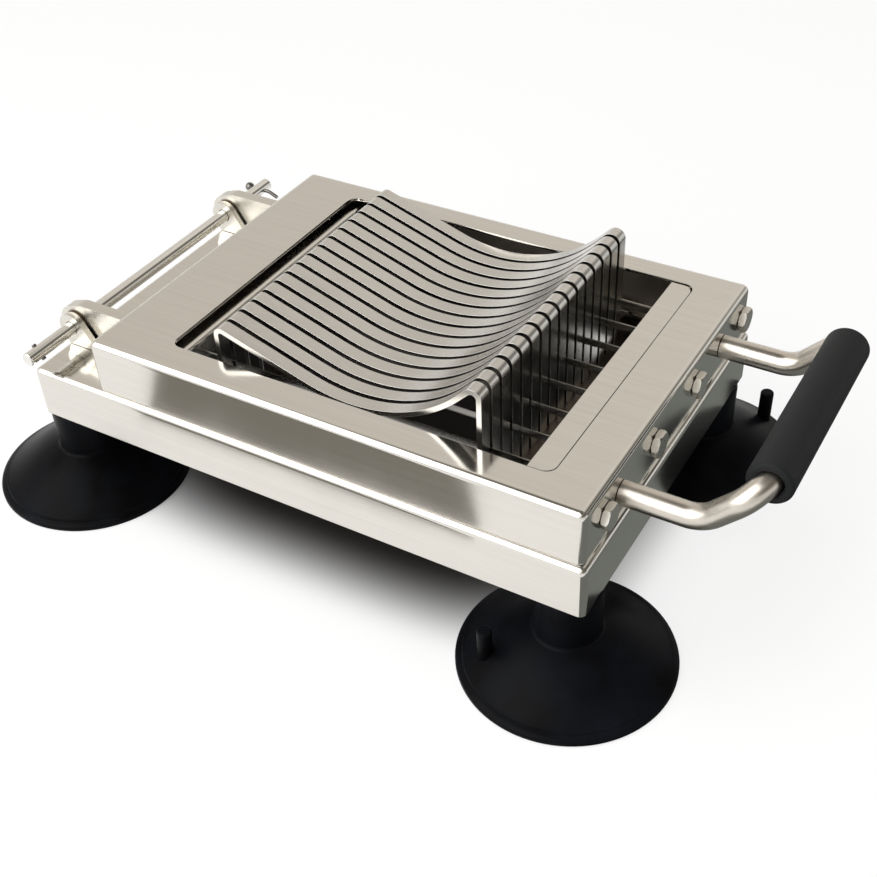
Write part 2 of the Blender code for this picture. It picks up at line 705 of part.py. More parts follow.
def bend_points(corner, coming, going, radius, count):
    """Points on the arc that rounds a corner between two directions."""
    turn = coming.angle(going)
    reach = radius * math.tan(turn / 2)
    start = corner - coming * reach
    inward = (going - coming * coming.dot(going)).normalized()
    centre = start + inward * radius
    points = []
    for step in range(count + 1):
        angle = turn * step / count
        points.append(centre - inward * radius * math.cos(angle) + coming * radius * math.sin(angle))
    return points


def tube_mesh(name, radius, sides, caps):
    """A round tube along the handle's path, open or closed at its ends."""
    curve = bpy.data.curves.new(name, "CURVE")
    curve.dimensions = "3D"
    curve.bevel_depth = radius
    curve.bevel_resolution = sides // 4 - 1
    curve.use_fill_caps = caps
    path = handle_path()
    spline = curve.splines.new("POLY")
    spline.points.add(len(path) - 1)
    for point, place_at in zip(spline.points, path):
        point.co = (*place_at, 1)
    item = bpy.data.objects.new(name, curve)
    CUTTERS.objects.link(item)
    mesh = mesh_of_curve(item, name)
    mesh.shade_smooth()
    return mesh


def build_handle():
    """A bent tube between two points of the handle wall, with a foam sleeve on its bar."""
    mesh = tube_mesh("handle_tube", TUBE_RADIUS, TUBE_SIDES, caps=False)
    mesh.transform(Matrix.Translation((-ROD_X, 0, -ROD_Z)))
    tube = place("handle_tube", mesh, (ROD_X, 0, ROD_Z), STEEL, on_lid=True)
    solidify(tube, TUBE_WALL)
    half = GRIP_LENGTH / 2
    slim = GRIP_RADIUS - GRIP_ROUND
    profile = [(0, half), (slim, half)]
    profile += arc_points(slim, half - GRIP_ROUND, GRIP_ROUND, 60, 0, 2)
    profile += arc_points(slim, GRIP_ROUND - half, GRIP_ROUND, 0, -60, 2)
    profile += [(slim, -half), (0, -half)]
    grip = place("handle_grip", turned_mesh("handle_grip", profile), (GRIP_X, 0, GRIP_Z), FOAM, on_lid=True)
    grip.rotation_euler = CROSSWISE_TURN
    turn_profile(grip)
    bore = tube_mesh("grip_bore", TUBE_RADIUS + SEAT_GAP, TUBE_SIDES, caps=True)
    combine(grip, as_cutter("grip_bore", bore))


def cup_profile():
    """Outline of a suction foot, from the bottom of its bolt hole out and round to its hollow."""
    bore = FOOT_BOLT_RADIUS + SEAT_GAP
    hole_floor = CUP_HEIGHT - CUP_BOLT_DEPTH - SEAT_GAP
    skirt = CUP_RADIUS - CUP_STEP
    profile = [(0, hole_floor), (bore, hole_floor), (bore, CUP_HEIGHT), (CUP_NECK_RADIUS, CUP_HEIGHT)]
    fillet_x = CUP_NECK_RADIUS + CUP_NECK_FILLET
    fillet_z = CUP_DOME_HEIGHT + CUP_NECK_FILLET
    profile += arc_points(fillet_x, fillet_z, CUP_NECK_FILLET, 180, 250, 2)
    for share_out, share_up in DOME_SHARES:
        x = CUP_NECK_RADIUS + share_out * (skirt - CUP_NECK_RADIUS)
        profile.append((x, CUP_RIM_HEIGHT + share_up * (CUP_DOME_HEIGHT - CUP_RIM_HEIGHT)))
    profile += [(skirt, CUP_RIM_HEIGHT), (CUP_RADIUS, CUP_RIM_HEIGHT - CUP_STEP), (CUP_RADIUS, 0)]
    inner = CUP_RADIUS - CUP_RIM_WIDTH
    hollow = CUP_DOME_HEIGHT - CUP_WALL
    profile += [(inner, 0), (inner * HOLLOW_SHARE, hollow * HOLLOW_SHARE), (bore, hollow), (0, hollow)]
    return profile


CUP_SPOTS = {
    "near_hinge": (BASE_X + CUP_HINGE_INSET, -1),
    "far_hinge": (BASE_X + CUP_HINGE_INSET, 1),
    "near_handle": (BASE_X + BASE_LENGTH - CUP_HANDLE_INSET, -1),
    "far_handle": (BASE_X + BASE_LENGTH - CUP_HANDLE_INSET, 1),
}


def build_feet():
    """Under each corner a plate in the frame, a suction foot and the bolt between them."""
    for spot, (x, side) in CUP_SPOTS.items():
        y = side * (BASE_WIDTH / 2 - CUP_SIDE_INSET)
        name = "suction_foot_" + spot
        foot = place(name, turned_mesh(name, cup_profile()), (x, y, 0), RUBBER)
        turn_profile(foot, CUP_SIDES)
        combine(foot, cup_nub(name + "_nub", spot, x, y), "UNION")
        build_plate("corner_plate_" + spot, x, y, side)
        build_foot_bolt("foot_bolt_" + spot, x, y)


def cup_nub(name, corner, x, y):
    """The upright release stub on the skirt of a foot."""
    angle = math.tau * NUB_TURN_SHARES[corner]
    reach = NUB_REACH_SHARES[corner] * CUP_RADIUS
    skirt_z = CUP_RIM_HEIGHT + (1 - NUB_REACH_SHARES[corner]) * (CUP_DOME_HEIGHT - CUP_RIM_HEIGHT)
    low = skirt_z - NUB_SINK
    mesh = bar_mesh_along_x(name, NUB_RADIUS, NUB_TOP - low, SMALL_ROUND_SIDES)
    spot_x = x + reach * math.cos(angle)
    spot_y = y + reach * math.sin(angle)
    return as_cutter(name, mesh, (spot_x, spot_y, low), UPRIGHT_TURN)


def build_plate(name, x, y, side):
    """A plate in the corner of the frame, flush with its lower edge."""
    wall = SHEET + SEAT_GAP
    hinge_side = x < BASE_X + BASE_LENGTH / 2
    inner_x = x + PLATE_MARGIN if hinge_side else x - PLATE_MARGIN
    outer_x = BASE_X + wall if hinge_side else BASE_X + BASE_LENGTH - wall
    inner_y = y - side * PLATE_MARGIN
    outer_y = side * (BASE_WIDTH / 2 - wall)
    size = (abs(outer_x - inner_x), abs(outer_y - inner_y), PLATE_THICKNESS)
    spot = (min(inner_x, outer_x), min(inner_y, outer_y), BASE_Z)
    plate = place(name, box_mesh(name, size), spot, STEEL)
    length = PLATE_THICKNESS + 2 * OVERRUN
    hole = bar_mesh_along_x(name + "_hole", FOOT_BOLT_RADIUS + SEAT_GAP, length, SMALL_ROUND_SIDES)
    combine(plate, as_cutter(name + "_hole", hole, (x, y, BASE_Z - OVERRUN), UPRIGHT_TURN))


def build_foot_bolt(name, x, y):
    """A hexagon bolt down through a corner plate into the neck of its foot."""
    low = CUP_HEIGHT - CUP_BOLT_DEPTH
    seat = BASE_Z + PLATE_THICKNESS + SEAT_GAP
    length = seat + FOOT_BOLT_HEAD_HEIGHT / 2 - low
    shank = bar_mesh_along_x(name, FOOT_BOLT_RADIUS, length, SMALL_ROUND_SIDES)
    bolt = place(name, shank, (x, y, low), STEEL)
    bolt.rotation_euler = UPRIGHT_TURN
    head = bar_mesh_along_x(name + "_head", FOOT_BOLT_HEAD_RADIUS, FOOT_BOLT_HEAD_HEIGHT, HEXAGON_SIDES)
    combine(bolt, as_cutter(name + "_head", head, (x, y, seat), UPRIGHT_TURN), "UNION")


build_base()
build_rails()
build_bars()
build_lid()
build_clamps()
build_blades()
build_bolts()
build_hinge()
build_rod()
build_handle()
build_feet()
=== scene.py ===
# %% [markdown]
# This lesson dresses a hand-lever vegetable stick cutter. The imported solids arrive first, as a fixed frame.
# Everything after that gives them the look of folded, brushed and polished steel, foam and rubber.

# %% Load the frame
import math

import bmesh
import bpy
from mathutils import Matrix, Vector


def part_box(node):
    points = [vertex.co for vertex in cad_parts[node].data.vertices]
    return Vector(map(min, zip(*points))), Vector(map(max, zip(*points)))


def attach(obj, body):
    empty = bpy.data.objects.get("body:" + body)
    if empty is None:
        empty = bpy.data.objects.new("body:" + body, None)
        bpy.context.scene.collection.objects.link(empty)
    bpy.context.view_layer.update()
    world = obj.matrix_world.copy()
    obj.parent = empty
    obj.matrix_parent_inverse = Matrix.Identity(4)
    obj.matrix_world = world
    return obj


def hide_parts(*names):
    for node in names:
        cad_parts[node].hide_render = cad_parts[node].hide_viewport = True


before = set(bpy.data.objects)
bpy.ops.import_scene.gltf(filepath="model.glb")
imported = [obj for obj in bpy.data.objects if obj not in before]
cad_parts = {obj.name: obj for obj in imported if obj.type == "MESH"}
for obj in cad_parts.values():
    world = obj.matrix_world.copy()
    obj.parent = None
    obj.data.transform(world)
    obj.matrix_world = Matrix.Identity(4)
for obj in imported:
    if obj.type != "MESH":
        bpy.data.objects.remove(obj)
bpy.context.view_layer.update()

# %% [markdown]
# The camera comes before the pieces, because it shows at once whether a shape agrees with the photograph.
# Its place was worked out from the straight edges of frame and lid, so its height, turn and roll are odd numbers.

# %% Camera
PHOTO_SIZE_PX = 877
SENSOR_WIDTH_MM = 36.0
FOCAL_LENGTH_PX = 1286.74
CAMERA_PLACE = (0.32628, -0.50115, 0.51610)
CAMERA_TURN = math.radians(31.94)
CAMERA_DROP = math.radians(39.52)
CAMERA_ROLL = math.radians(-2.758)

camera_data = bpy.data.cameras.new("studio_camera")
camera_data.sensor_width = SENSOR_WIDTH_MM
camera_data.lens = SENSOR_WIDTH_MM * FOCAL_LENGTH_PX / PHOTO_SIZE_PX
camera = bpy.data.objects.new("studio_camera", camera_data)
bpy.context.scene.collection.objects.link(camera)
turn = Matrix.Rotation(CAMERA_TURN, 4, "Z")
drop = Matrix.Rotation(math.radians(90) - CAMERA_DROP, 4, "X")
roll = Matrix.Rotation(CAMERA_ROLL, 4, "Z")
camera.matrix_world = Matrix.Translation(CAMERA_PLACE) @ turn @ drop @ roll
bpy.context.scene.camera = camera
print("lens", round(camera_data.lens, 2), "mm")

# %% [markdown]
# Steel shows its surroundings more than its own colour, so the studio is part of the finish.
# A white floor and an even warm sky would do alone, but every wall would look the same.
# So a large soft lamp stands at the front left, and glowing cards lie right of and before the cutter: painted
# reflections.

# %% Sky and floor
SKY_LEFT = (0.70, 0.65, 0.59, 1)
SKY_BACK = (0.86, 0.81, 0.74, 1)
SKY_ABOVE = (0.16, 0.15, 0.13, 1)
SKY_RIM = (1.0, 0.99, 0.96, 1)
SKY_LIGHT = 0.3
FLOOR_COLOUR = (0.97, 0.97, 0.97, 1)
FLOOR_GLOW = 0.75
# Painted shade: the floor's colour turns near black in a soft patch below the cutter.
PAINTED_SHADE_COLOUR = (0.035, 0.032, 0.03, 1)
PAINTED_SHADE_MIDDLE = (-0.02, 0.03, 0)
PAINTED_SHADE_REACH = (0.17, 0.145, 1)
FLOOR_SIZE = 20

bpy.context.scene.view_settings.view_transform = "Standard"


def build_world():
    """A dim sky as light, and one that is white to the camera and warm in polished metal."""
    world = bpy.data.worlds.new("studio")
    world.use_nodes = True
    bpy.context.scene.world = world
    nodes = world.node_tree.nodes
    links = world.node_tree.links
    path = nodes.new("ShaderNodeLightPath")
    direction = nodes.new("ShaderNodeTexCoord")
    parts = nodes.new("ShaderNodeSeparateXYZ")
    links.new(direction.outputs["Generated"], parts.inputs[0])
    across = nodes.new("ShaderNodeMapRange")
    across.inputs["From Min"].default_value = -0.75
    across.inputs["From Max"].default_value = 0.1
    links.new(parts.outputs["X"], across.inputs["Value"])
    upwards = nodes.new("ShaderNodeMapRange")
    upwards.inputs["From Min"].default_value = 0.80
    upwards.inputs["From Max"].default_value = 0.93
    links.new(parts.outputs["Z"], upwards.inputs["Value"])
    rightwards = nodes.new("ShaderNodeMapRange")
    rightwards.inputs["From Min"].default_value = 0.2
    rightwards.inputs["From Max"].default_value = 0.5
    links.new(parts.outputs["X"], rightwards.inputs["Value"])
    darkest = nodes.new("ShaderNodeMath")
    darkest.operation = "MAXIMUM"
    links.new(upwards.outputs["Result"], darkest.inputs[0])
    links.new(rightwards.outputs["Result"], darkest.inputs[1])
    level = nodes.new("ShaderNodeMix")
    level.data_type = "RGBA"
    level.inputs[6].default_value = SKY_LEFT
    level.inputs[7].default_value = SKY_BACK
    links.new(across.outputs["Result"], level.inputs["Factor"])
    tint = nodes.new("ShaderNodeMix")
    tint.data_type = "RGBA"
    tint.inputs[7].default_value = SKY_ABOVE
    links.new(level.outputs[2], tint.inputs[6])
    links.new(darkest.outputs[0], tint.inputs["Factor"])
    lit = nodes["Background"]
    lit.inputs["Color"].default_value = SKY_BACK
    lit.inputs["Strength"].default_value = SKY_LIGHT
    mirrored = nodes.new("ShaderNodeBackground")
    rim = nodes.new("ShaderNodeMix")
    rim.data_type = "RGBA"
    rim.inputs[7].default_value = SKY_RIM
    low_share = nodes.new("ShaderNodeMapRange")
    low_share.inputs["From Min"].default_value = 0.40
    low_share.inputs["From Max"].default_value = 0.12
    links.new(parts.outputs["Z"], low_share.inputs["Value"])
    links.new(low_share.outputs["Result"], rim.inputs["Factor"])
    links.new(tint.outputs[2], rim.inputs[6])
    links.new(rim.outputs[2], mirrored.inputs["Color"])
    shown = nodes.new("ShaderNodeBackground")
    shown.inputs["Color"].default_value = (1, 1, 1, 1)
    gloss = nodes.new("ShaderNodeMixShader")
    links.new(path.outputs["Is Glossy Ray"], gloss.inputs["Fac"])
    links.new(lit.outputs[0], gloss.inputs[1])
    links.new(mirrored.outputs[0], gloss.inputs[2])
    seen = nodes.new("ShaderNodeMixShader")
    links.new(path.outputs["Is Camera Ray"], seen.inputs["Fac"])
    links.new(gloss.outputs[0], seen.inputs[1])
    links.new(shown.outputs[0], seen.inputs[2])
    links.new(seen.outputs[0], nodes["World Output"].inputs["Surface"])


build_world()


def floor_white_with_painted_shade():
    """White paper, kept white where the camera looks at it, with a deep soft shade painted into its colour below the
    cutter.
    """
    material = bpy.data.materials.new("floor_white_with_painted_shade")
    material.use_nodes = True
    nodes = material.node_tree.nodes
    links = material.node_tree.links
    place = nodes.new("ShaderNodeTexCoord")
    shift = nodes.new("ShaderNodeVectorMath")
    shift.operation = "SUBTRACT"
    shift.inputs[1].default_value = PAINTED_SHADE_MIDDLE
    links.new(place.outputs["Object"], shift.inputs[0])
    share = nodes.new("ShaderNodeVectorMath")
    share.operation = "DIVIDE"
    share.inputs[1].default_value = PAINTED_SHADE_REACH
    links.new(shift.outputs[0], share.inputs[0])
    reach = nodes.new("ShaderNodeSeparateXYZ")
    links.new(share.outputs[0], reach.inputs[0])
    squares = []
    for axis in range(2):
        power = nodes.new("ShaderNodeMath")
        power.operation = "POWER"
        power.inputs[1].default_value = 4
        links.new(reach.outputs[axis], power.inputs[0])
        squares.append(power.outputs[0])
    both = nodes.new("ShaderNodeMath")
    links.new(squares[0], both.inputs[0])
    links.new(squares[1], both.inputs[1])
    clear = nodes.new("ShaderNodeMapRange")
    clear.interpolation_type = "SMOOTHSTEP"
    clear.inputs["From Min"].default_value = 0.2
    clear.inputs["From Max"].default_value = 1.5
    links.new(both.outputs[0], clear.inputs["Value"])
    # Painted shade: towards the middle below the cutter, the colour goes over to the dark tone.
    tone = nodes.new("ShaderNodeMix")
    tone.data_type = "RGBA"
    tone.inputs[6].default_value = PAINTED_SHADE_COLOUR
    tone.inputs[7].default_value = FLOOR_COLOUR
    links.new(clear.outputs["Result"], tone.inputs["Factor"])
    paper = nodes["Principled BSDF"]
    paper.inputs["Roughness"].default_value = 1
    paper.inputs["Specular IOR Level"].default_value = 0
    links.new(tone.outputs[2], paper.inputs["Base Color"])
    glow = nodes.new("ShaderNodeEmission")
    path = nodes.new("ShaderNodeLightPath")
    seen = nodes.new("ShaderNodeMath")
    seen.operation = "MULTIPLY"
    seen.inputs[1].default_value = FLOOR_GLOW
    links.new(path.outputs["Is Camera Ray"], seen.inputs[0])
    # The camera's glow fades out over the painted shade, so the patch stays dark.
    shown = nodes.new("ShaderNodeMath")
    shown.operation = "MULTIPLY"
    links.new(seen.outputs[0], shown.inputs[0])
    links.new(clear.outputs["Result"], shown.inputs[1])
    mix = nodes.new("ShaderNodeMixShader")
    links.new(shown.outputs[0], mix.inputs["Fac"])
    links.new(paper.outputs[0], mix.inputs[1])
    links.new(glow.outputs[0], mix.inputs[2])
    links.new(mix.outputs[0], nodes["Material Output"].inputs["Surface"])
    return material


bpy.ops.object.select_all(action="DESELECT")
bpy.ops.mesh.primitive_plane_add(size=FLOOR_SIZE, location=(0, 0, 0))
floor = bpy.context.object
floor.name = "studio_floor"
floor.data.materials.append(floor_white_with_painted_shade())
print("floor", FLOOR_SIZE, "m")

# %% Lamp and cards


def add_lamp(name, place, power, size, mirrored=True):
    """A square soft lamp that looks at the cutter, mirrored in polished steel or only lighting it."""
    lamp_data = bpy.data.lights.new(name, "AREA")
    lamp_data.energy = power
    lamp_data.size = size
    lamp = bpy.data.objects.new(name, lamp_data)
    bpy.context.scene.collection.objects.link(lamp)
    lamp.location = place
    lamp.rotation_euler = (-Vector(place)).to_track_quat("-Z", "Y").to_euler()
    lamp.visible_glossy = mirrored
    return lamp


def painted_reflection_glow(name, colour):
    """A glowing even tone, the same however the card is turned to the lamps: a painted reflection."""
    material = bpy.data.materials.new(name)
    material.use_nodes = True
    glow = material.node_tree.nodes.new("ShaderNodeEmission")
    glow.inputs["Color"].default_value = colour
    sink = material.node_tree.nodes["Material Output"].inputs["Surface"]
    material.node_tree.links.new(glow.outputs[0], sink)
    return material


def add_card(name, colour, low, high, lean=0.0):
    """A card on the floor that shows only where polished steel mirrors it. Its front edge may lean to the left."""
    middle = (Vector(low) + Vector(high)) / 2
    bpy.ops.mesh.primitive_plane_add(size=1, location=(middle.x, middle.y, CARD_LIFT))
    card = bpy.context.object
    card.name = name
    card.scale = (high[0] - low[0], high[1] - low[1], 1)
    for corner in card.data.vertices:
        if corner.co.y < 0:
            corner.co.x -= lean
    card.data.materials.append(painted_reflection_glow(name, colour))
    card.visible_camera = False
    card.visible_diffuse = False
    card.visible_shadow = False
    return card


CARD_LIFT = 0.001
add_lamp("front_lamp", (-1.0, -1.55, 1.62), 54, 2.7)
add_lamp("top_lamp", (0.15, 0.1, 2.6), 32, 1.6, mirrored=False)
# Both cards glow with a fixed grey: painted reflections that darken the right walls and the lid's front wall.
add_card("side_card", (0.19, 0.20, 0.185, 1), (0.17, -0.2), (0.75, 0.6))
add_card("front_card", (0.25, 0.235, 0.205, 1), (-0.187, -0.60), (0.060, -0.183), lean=1.18)
print("lamps 2, cards 2")

# %% [markdown]
# Every piece is modelled the way it would be by hand: a primitive, then selections and tools in edit mode.
# An operator acts on all that is selected, so each helper first makes its own piece the only one held.

# %% Hold one piece


def hold(piece):
    """Make one piece the only selected and the active one."""
    bpy.ops.object.select_all(action="DESELECT")
    piece.select_set(True)
    bpy.context.view_layer.objects.active = piece


def keep_place(piece):
    """Put the piece's place, turn and size into its mesh, so its object stays at the origin."""
    hold(piece)
    bpy.ops.object.transform_apply(location=True, rotation=True, scale=True)
    return piece


def add_block(name, low, high):
    bpy.ops.object.select_all(action="DESELECT")
    middle = (Vector(low) + Vector(high)) / 2
    bpy.ops.mesh.primitive_cube_add(size=1, location=middle, scale=Vector(high) - Vector(low))
    bpy.context.object.name = name
    return keep_place(bpy.context.object)


AXIS_TURNS = {"X": (0, math.radians(90), 0), "Y": (math.radians(-90), 0, 0), "Z": (0, 0, 0)}
AXIS_STEPS = {"X": Vector((1, 0, 0)), "Y": Vector((0, 1, 0)), "Z": Vector((0, 0, 1))}


def add_rod(name, radius, start, length, axis, sides=48):
    """A cylinder from a start point along an axis."""
    bpy.ops.object.select_all(action="DESELECT")
    middle = Vector(start) + AXIS_STEPS[axis] * length / 2
    turn = AXIS_TURNS[axis]
    bpy.ops.mesh.primitive_cylinder_add(vertices=sides, radius=radius, depth=length, location=middle, rotation=turn)
    bpy.context.object.name = name
    return keep_place(bpy.context.object)


# %% Choose parts of a mesh and change them


def pick(piece, kind, test):
    """In edit mode, select the points, edges or faces that pass a test."""
    hold(piece)
    bpy.ops.object.mode_set(mode="EDIT")
    bpy.ops.mesh.select_mode(type=kind)
    bpy.ops.mesh.select_all(action="DESELECT")
    mesh = bmesh.from_edit_mesh(piece.data)
    for item in {"VERT": mesh.verts, "EDGE": mesh.edges, "FACE": mesh.faces}[kind]:
        if test(item):
            item.select_set(True)
    mesh.select_flush_mode()
    bmesh.update_edit_mesh(piece.data)


def leave_edit():
    bpy.ops.object.mode_set(mode="OBJECT")


def push_out(step):
    """Extrude what is selected by a step."""
    bpy.ops.mesh.extrude_region_move(TRANSFORM_OT_translate={"value": tuple(step)})


def turn_end(angle, centre, axis, steps):
    """Sweep the selected end round an axis. The operator counts angles the other way round, so the sign changes."""
    bpy.ops.mesh.spin(steps=steps, angle=-angle, center=tuple(centre), axis=tuple(axis))


def slice_at(piece, point, normal):
    """Cut a line of points right round the piece."""
    hold(piece)
    bpy.ops.object.mode_set(mode="EDIT")
    bpy.ops.mesh.select_all(action="SELECT")
    bpy.ops.mesh.bisect(plane_co=tuple(point), plane_no=tuple(normal))
    leave_edit()


def middle_of(item):
    """The middle of a point, an edge or a face."""
    if isinstance(item, bmesh.types.BMVert):
        return item.co
    return sum((vert.co for vert in item.verts), Vector()) / len(item.verts)


def runs_along(edge, axis):
    return abs((edge.verts[0].co - edge.verts[1].co).normalized().dot(AXIS_STEPS[axis])) > 0.99


# %% Modifiers, cuts and copies


def finish_with(piece, kind, **settings):
    """Add a modifier with its settings and apply it."""
    hold(piece)
    modifier = piece.modifiers.new(kind.lower(), kind)
    for name, value in settings.items():
        setattr(modifier, name, value)
    bpy.ops.object.modifier_apply(modifier=modifier.name)


def round_edges(piece, width, segments=3, angle=40):
    limit = math.radians(angle)
    finish_with(piece, "BEVEL", width=width, segments=segments, limit_method="ANGLE", angle_limit=limit)


def cut(piece, tool, operation="DIFFERENCE"):
    """Cut a piece with a tool, or join or cross it, and throw the tool away."""
    finish_with(piece, "BOOLEAN", operation=operation, solver="EXACT", object=tool)
    bpy.data.objects.remove(tool, do_unlink=True)


def shade(piece, angle=35):
    hold(piece)
    bpy.ops.object.shade_smooth_by_angle(angle=math.radians(angle))
    finish_with(piece, "WEIGHTED_NORMAL", mode="FACE_AREA", weight=50, keep_sharp=True)
    return piece


def copy_of(piece, name, step):
    """A twin with its own mesh, moved by a step."""
    hold(piece)
    bpy.ops.object.duplicate(linked=False)
    twin = bpy.context.object
    twin.name = name
    bpy.ops.transform.translate(value=tuple(step))
    return keep_place(twin)


def clean_shell(piece):
    """Merge doubled points and turn all faces outwards."""
    hold(piece)
    bpy.ops.object.mode_set(mode="EDIT")
    bpy.ops.mesh.select_all(action="SELECT")
    bpy.ops.mesh.remove_doubles(threshold=0.00002)
    bpy.ops.mesh.normals_make_consistent(inside=False)
    leave_edit()


def dress(piece, finish, slot, body, *nodes):
    """Give a piece its finish, if it has none yet, and its body, and let it stand for the solids it shows."""
    if finish:
        piece.data.materials.clear()
        piece.data.materials.append(finish)
    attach(piece, body)
    if nodes:
        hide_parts(*nodes)


print("helpers ready")

# %% [markdown]
# Brushed steel has fine strokes that all run one way on each face, softly clouded by handling.
# The strokes are noise stretched along one axis. A node group holds them, so that every steel piece shares them.

# %% Group for brush strokes


def new_group(name, inputs, outputs):
    """An empty shader group with float, vector and colour sockets."""
    group = bpy.data.node_groups.new(name, "ShaderNodeTree")
    for socket, kind, value in inputs:
        made = group.interface.new_socket(socket, in_out="INPUT", socket_type="NodeSocket" + kind)
        if kind == "Float":
            made.default_value = value
    for socket, kind in outputs:
        group.interface.new_socket(socket, in_out="OUTPUT", socket_type="NodeSocket" + kind)
    source = group.nodes.new("NodeGroupInput")
    sink = group.nodes.new("NodeGroupOutput")
    return group, source, sink


def maths(group, operation, first, second, clamp=False):
    """A maths node fed by sockets or plain numbers."""
    node = group.nodes.new("ShaderNodeMath")
    node.operation = operation
    node.use_clamp = clamp
    for number, value in enumerate((first, second)):
        if isinstance(value, (int, float)):
            node.inputs[number].default_value = value
        else:
            group.links.new(value, node.inputs[number])
    return node.outputs[0]


def vector_maths(group, operation, first, second):
    node = group.nodes.new("ShaderNodeVectorMath")
    node.operation = operation
    for number, value in enumerate((first, second)):
        if isinstance(value, (tuple, list)):
            node.inputs[number].default_value = value
        else:
            group.links.new(value, node.inputs[number])
    return node.outputs[0]


def noise(group, vector, scale, detail=3.0, roughness=0.55):
    node = group.nodes.new("ShaderNodeTexNoise")
    node.inputs["Scale"].default_value = scale
    node.inputs["Detail"].default_value = detail
    node.inputs["Roughness"].default_value = roughness
    group.links.new(vector, node.inputs["Vector"])
    return node.outputs[0]


def build_strokes():
    """Strokes along X on most faces and along Y on the faces that look along X."""
    inputs = [("Place", "Vector", None), ("Facing", "Vector", None)]
    outputs = [("Height", "Float"), ("Tone", "Float"), ("Clouds", "Float")]
    group, source, sink = new_group("brush_strokes", inputs, outputs)
    along_x = vector_maths(group, "MULTIPLY", source.outputs["Place"], (14, 1500, 1500))
    along_y = vector_maths(group, "MULTIPLY", source.outputs["Place"], (1500, 14, 1500))
    parts = group.nodes.new("ShaderNodeSeparateXYZ")
    group.links.new(source.outputs["Facing"], parts.inputs[0])
    sideways = maths(group, "GREATER_THAN", maths(group, "ABSOLUTE", parts.outputs[0], 0), 0.7)
    chosen = group.nodes.new("ShaderNodeMix")
    chosen.data_type = "VECTOR"
    group.links.new(sideways, chosen.inputs["Factor"])
    group.links.new(along_x, chosen.inputs[4])
    group.links.new(along_y, chosen.inputs[5])
    fine = noise(group, chosen.outputs[1], 1.0)
    broad = noise(group, chosen.outputs[1], 0.22, detail=2.0)
    height = maths(group, "ADD", maths(group, "MULTIPLY", fine, 0.6), maths(group, "MULTIPLY", broad, 0.4))
    clouds = noise(group, source.outputs["Place"], 22.0, detail=4.0)
    group.links.new(height, sink.inputs["Height"])
    group.links.new(height, sink.inputs["Tone"])
    group.links.new(clouds, sink.inputs["Clouds"])
    return group


STROKES = build_strokes()
print("group", STROKES.name, "nodes", len(STROKES.nodes))

# %% [markdown]
# One function then builds each kind of steel: sheet, bar, tube, blade and fitting.
# They differ in colour, in how dull they are and in how deep the strokes go.

# %% Steels


def spread(material, value, low, high):
    """Map a value around one half to the range low to high."""
    node = material.node_tree.nodes.new("ShaderNodeMapRange")
    node.inputs["From Min"].default_value = 0.3
    node.inputs["From Max"].default_value = 0.7
    node.inputs["To Min"].default_value = low
    node.inputs["To Max"].default_value = high
    material.node_tree.links.new(value, node.inputs["Value"])
    return node.outputs["Result"]


def tinted(material, colour, value):
    """A colour made lighter or darker by a value."""
    node = material.node_tree.nodes.new("ShaderNodeMix")
    node.data_type = "RGBA"
    node.blend_type = "MULTIPLY"
    node.inputs["Factor"].default_value = 1
    node.inputs[6].default_value = (*colour, 1)
    material.node_tree.links.new(value, node.inputs[7])
    return node.outputs[2]


def make_steel(name, colour, dull, stroke_depth, tone=0.05, cloud=0.05):
    material = bpy.data.materials.new(name)
    material.use_nodes = True
    nodes = material.node_tree.nodes
    links = material.node_tree.links
    shader = nodes["Principled BSDF"]
    shader.inputs["Metallic"].default_value = 1
    place = nodes.new("ShaderNodeTexCoord")
    strokes = nodes.new("ShaderNodeGroup")
    strokes.node_tree = STROKES
    links.new(place.outputs["Object"], strokes.inputs["Place"])
    links.new(place.outputs["Normal"], strokes.inputs["Facing"])
    lightness = spread(material, strokes.outputs["Tone"], 1 - tone, 1 + tone)
    links.new(tinted(material, colour, lightness), shader.inputs["Base Color"])
    links.new(spread(material, strokes.outputs["Clouds"], dull - cloud, dull + cloud), shader.inputs["Roughness"])
    bump = nodes.new("ShaderNodeBump")
    bump.inputs["Strength"].default_value = 1
    bump.inputs["Distance"].default_value = stroke_depth
    links.new(strokes.outputs["Height"], bump.inputs["Height"])
    links.new(bump.outputs["Normal"], shader.inputs["Normal"])
    return material


SHEET_STEEL = make_steel("sheet_steel", (0.69, 0.67, 0.63), 0.13, 0.000004, tone=0.05, cloud=0.03)
BAR_STEEL = make_steel("bar_steel", (0.62, 0.61, 0.585), 0.24, 0.00001, tone=0.06)
TUBE_STEEL = make_steel("tube_steel", (0.64, 0.60, 0.54), 0.3, 0.000003, tone=0.05, cloud=0.07)
ROD_STEEL = make_steel("rod_steel", (0.78, 0.77, 0.74), 0.13, 0.000003, cloud=0.03)
BLADE_STEEL = make_steel("blade_steel", (0.34, 0.33, 0.31), 0.25, 0.00001)
FITTING_STEEL = make_steel("fitting_steel", (0.68, 0.66, 0.61), 0.27, 0.00002, cloud=0.08)
# Dull steel whose colour is darkened far below bare steel: painted shade inside the boxes and below the lid.
RAW_PAINTED_SHADE_STEEL = make_steel("raw_steel_painted_shade", (0.20, 0.175, 0.15), 0.42, 0.00002, tone=0.08, cloud=0.08)
# Near-black steel for the bars' sides that face each other: painted shade of the narrow gaps.
BAR_GAP_PAINTED_SHADE = make_steel("bar_gap_painted_shade", (0.05, 0.045, 0.04), 0.4, 0.00001)
# Dark brown steel for the washers: painted shade of the narrow slit between ear and lug.
WASHER_PAINTED_SHADE_STEEL = make_steel("washer_painted_shade", (0.16, 0.11, 0.07), 0.38, 0.00001)
PIN_STEEL = make_steel("pin_steel", (0.20, 0.19, 0.18), 0.34, 0.00001)
print("steels 10")
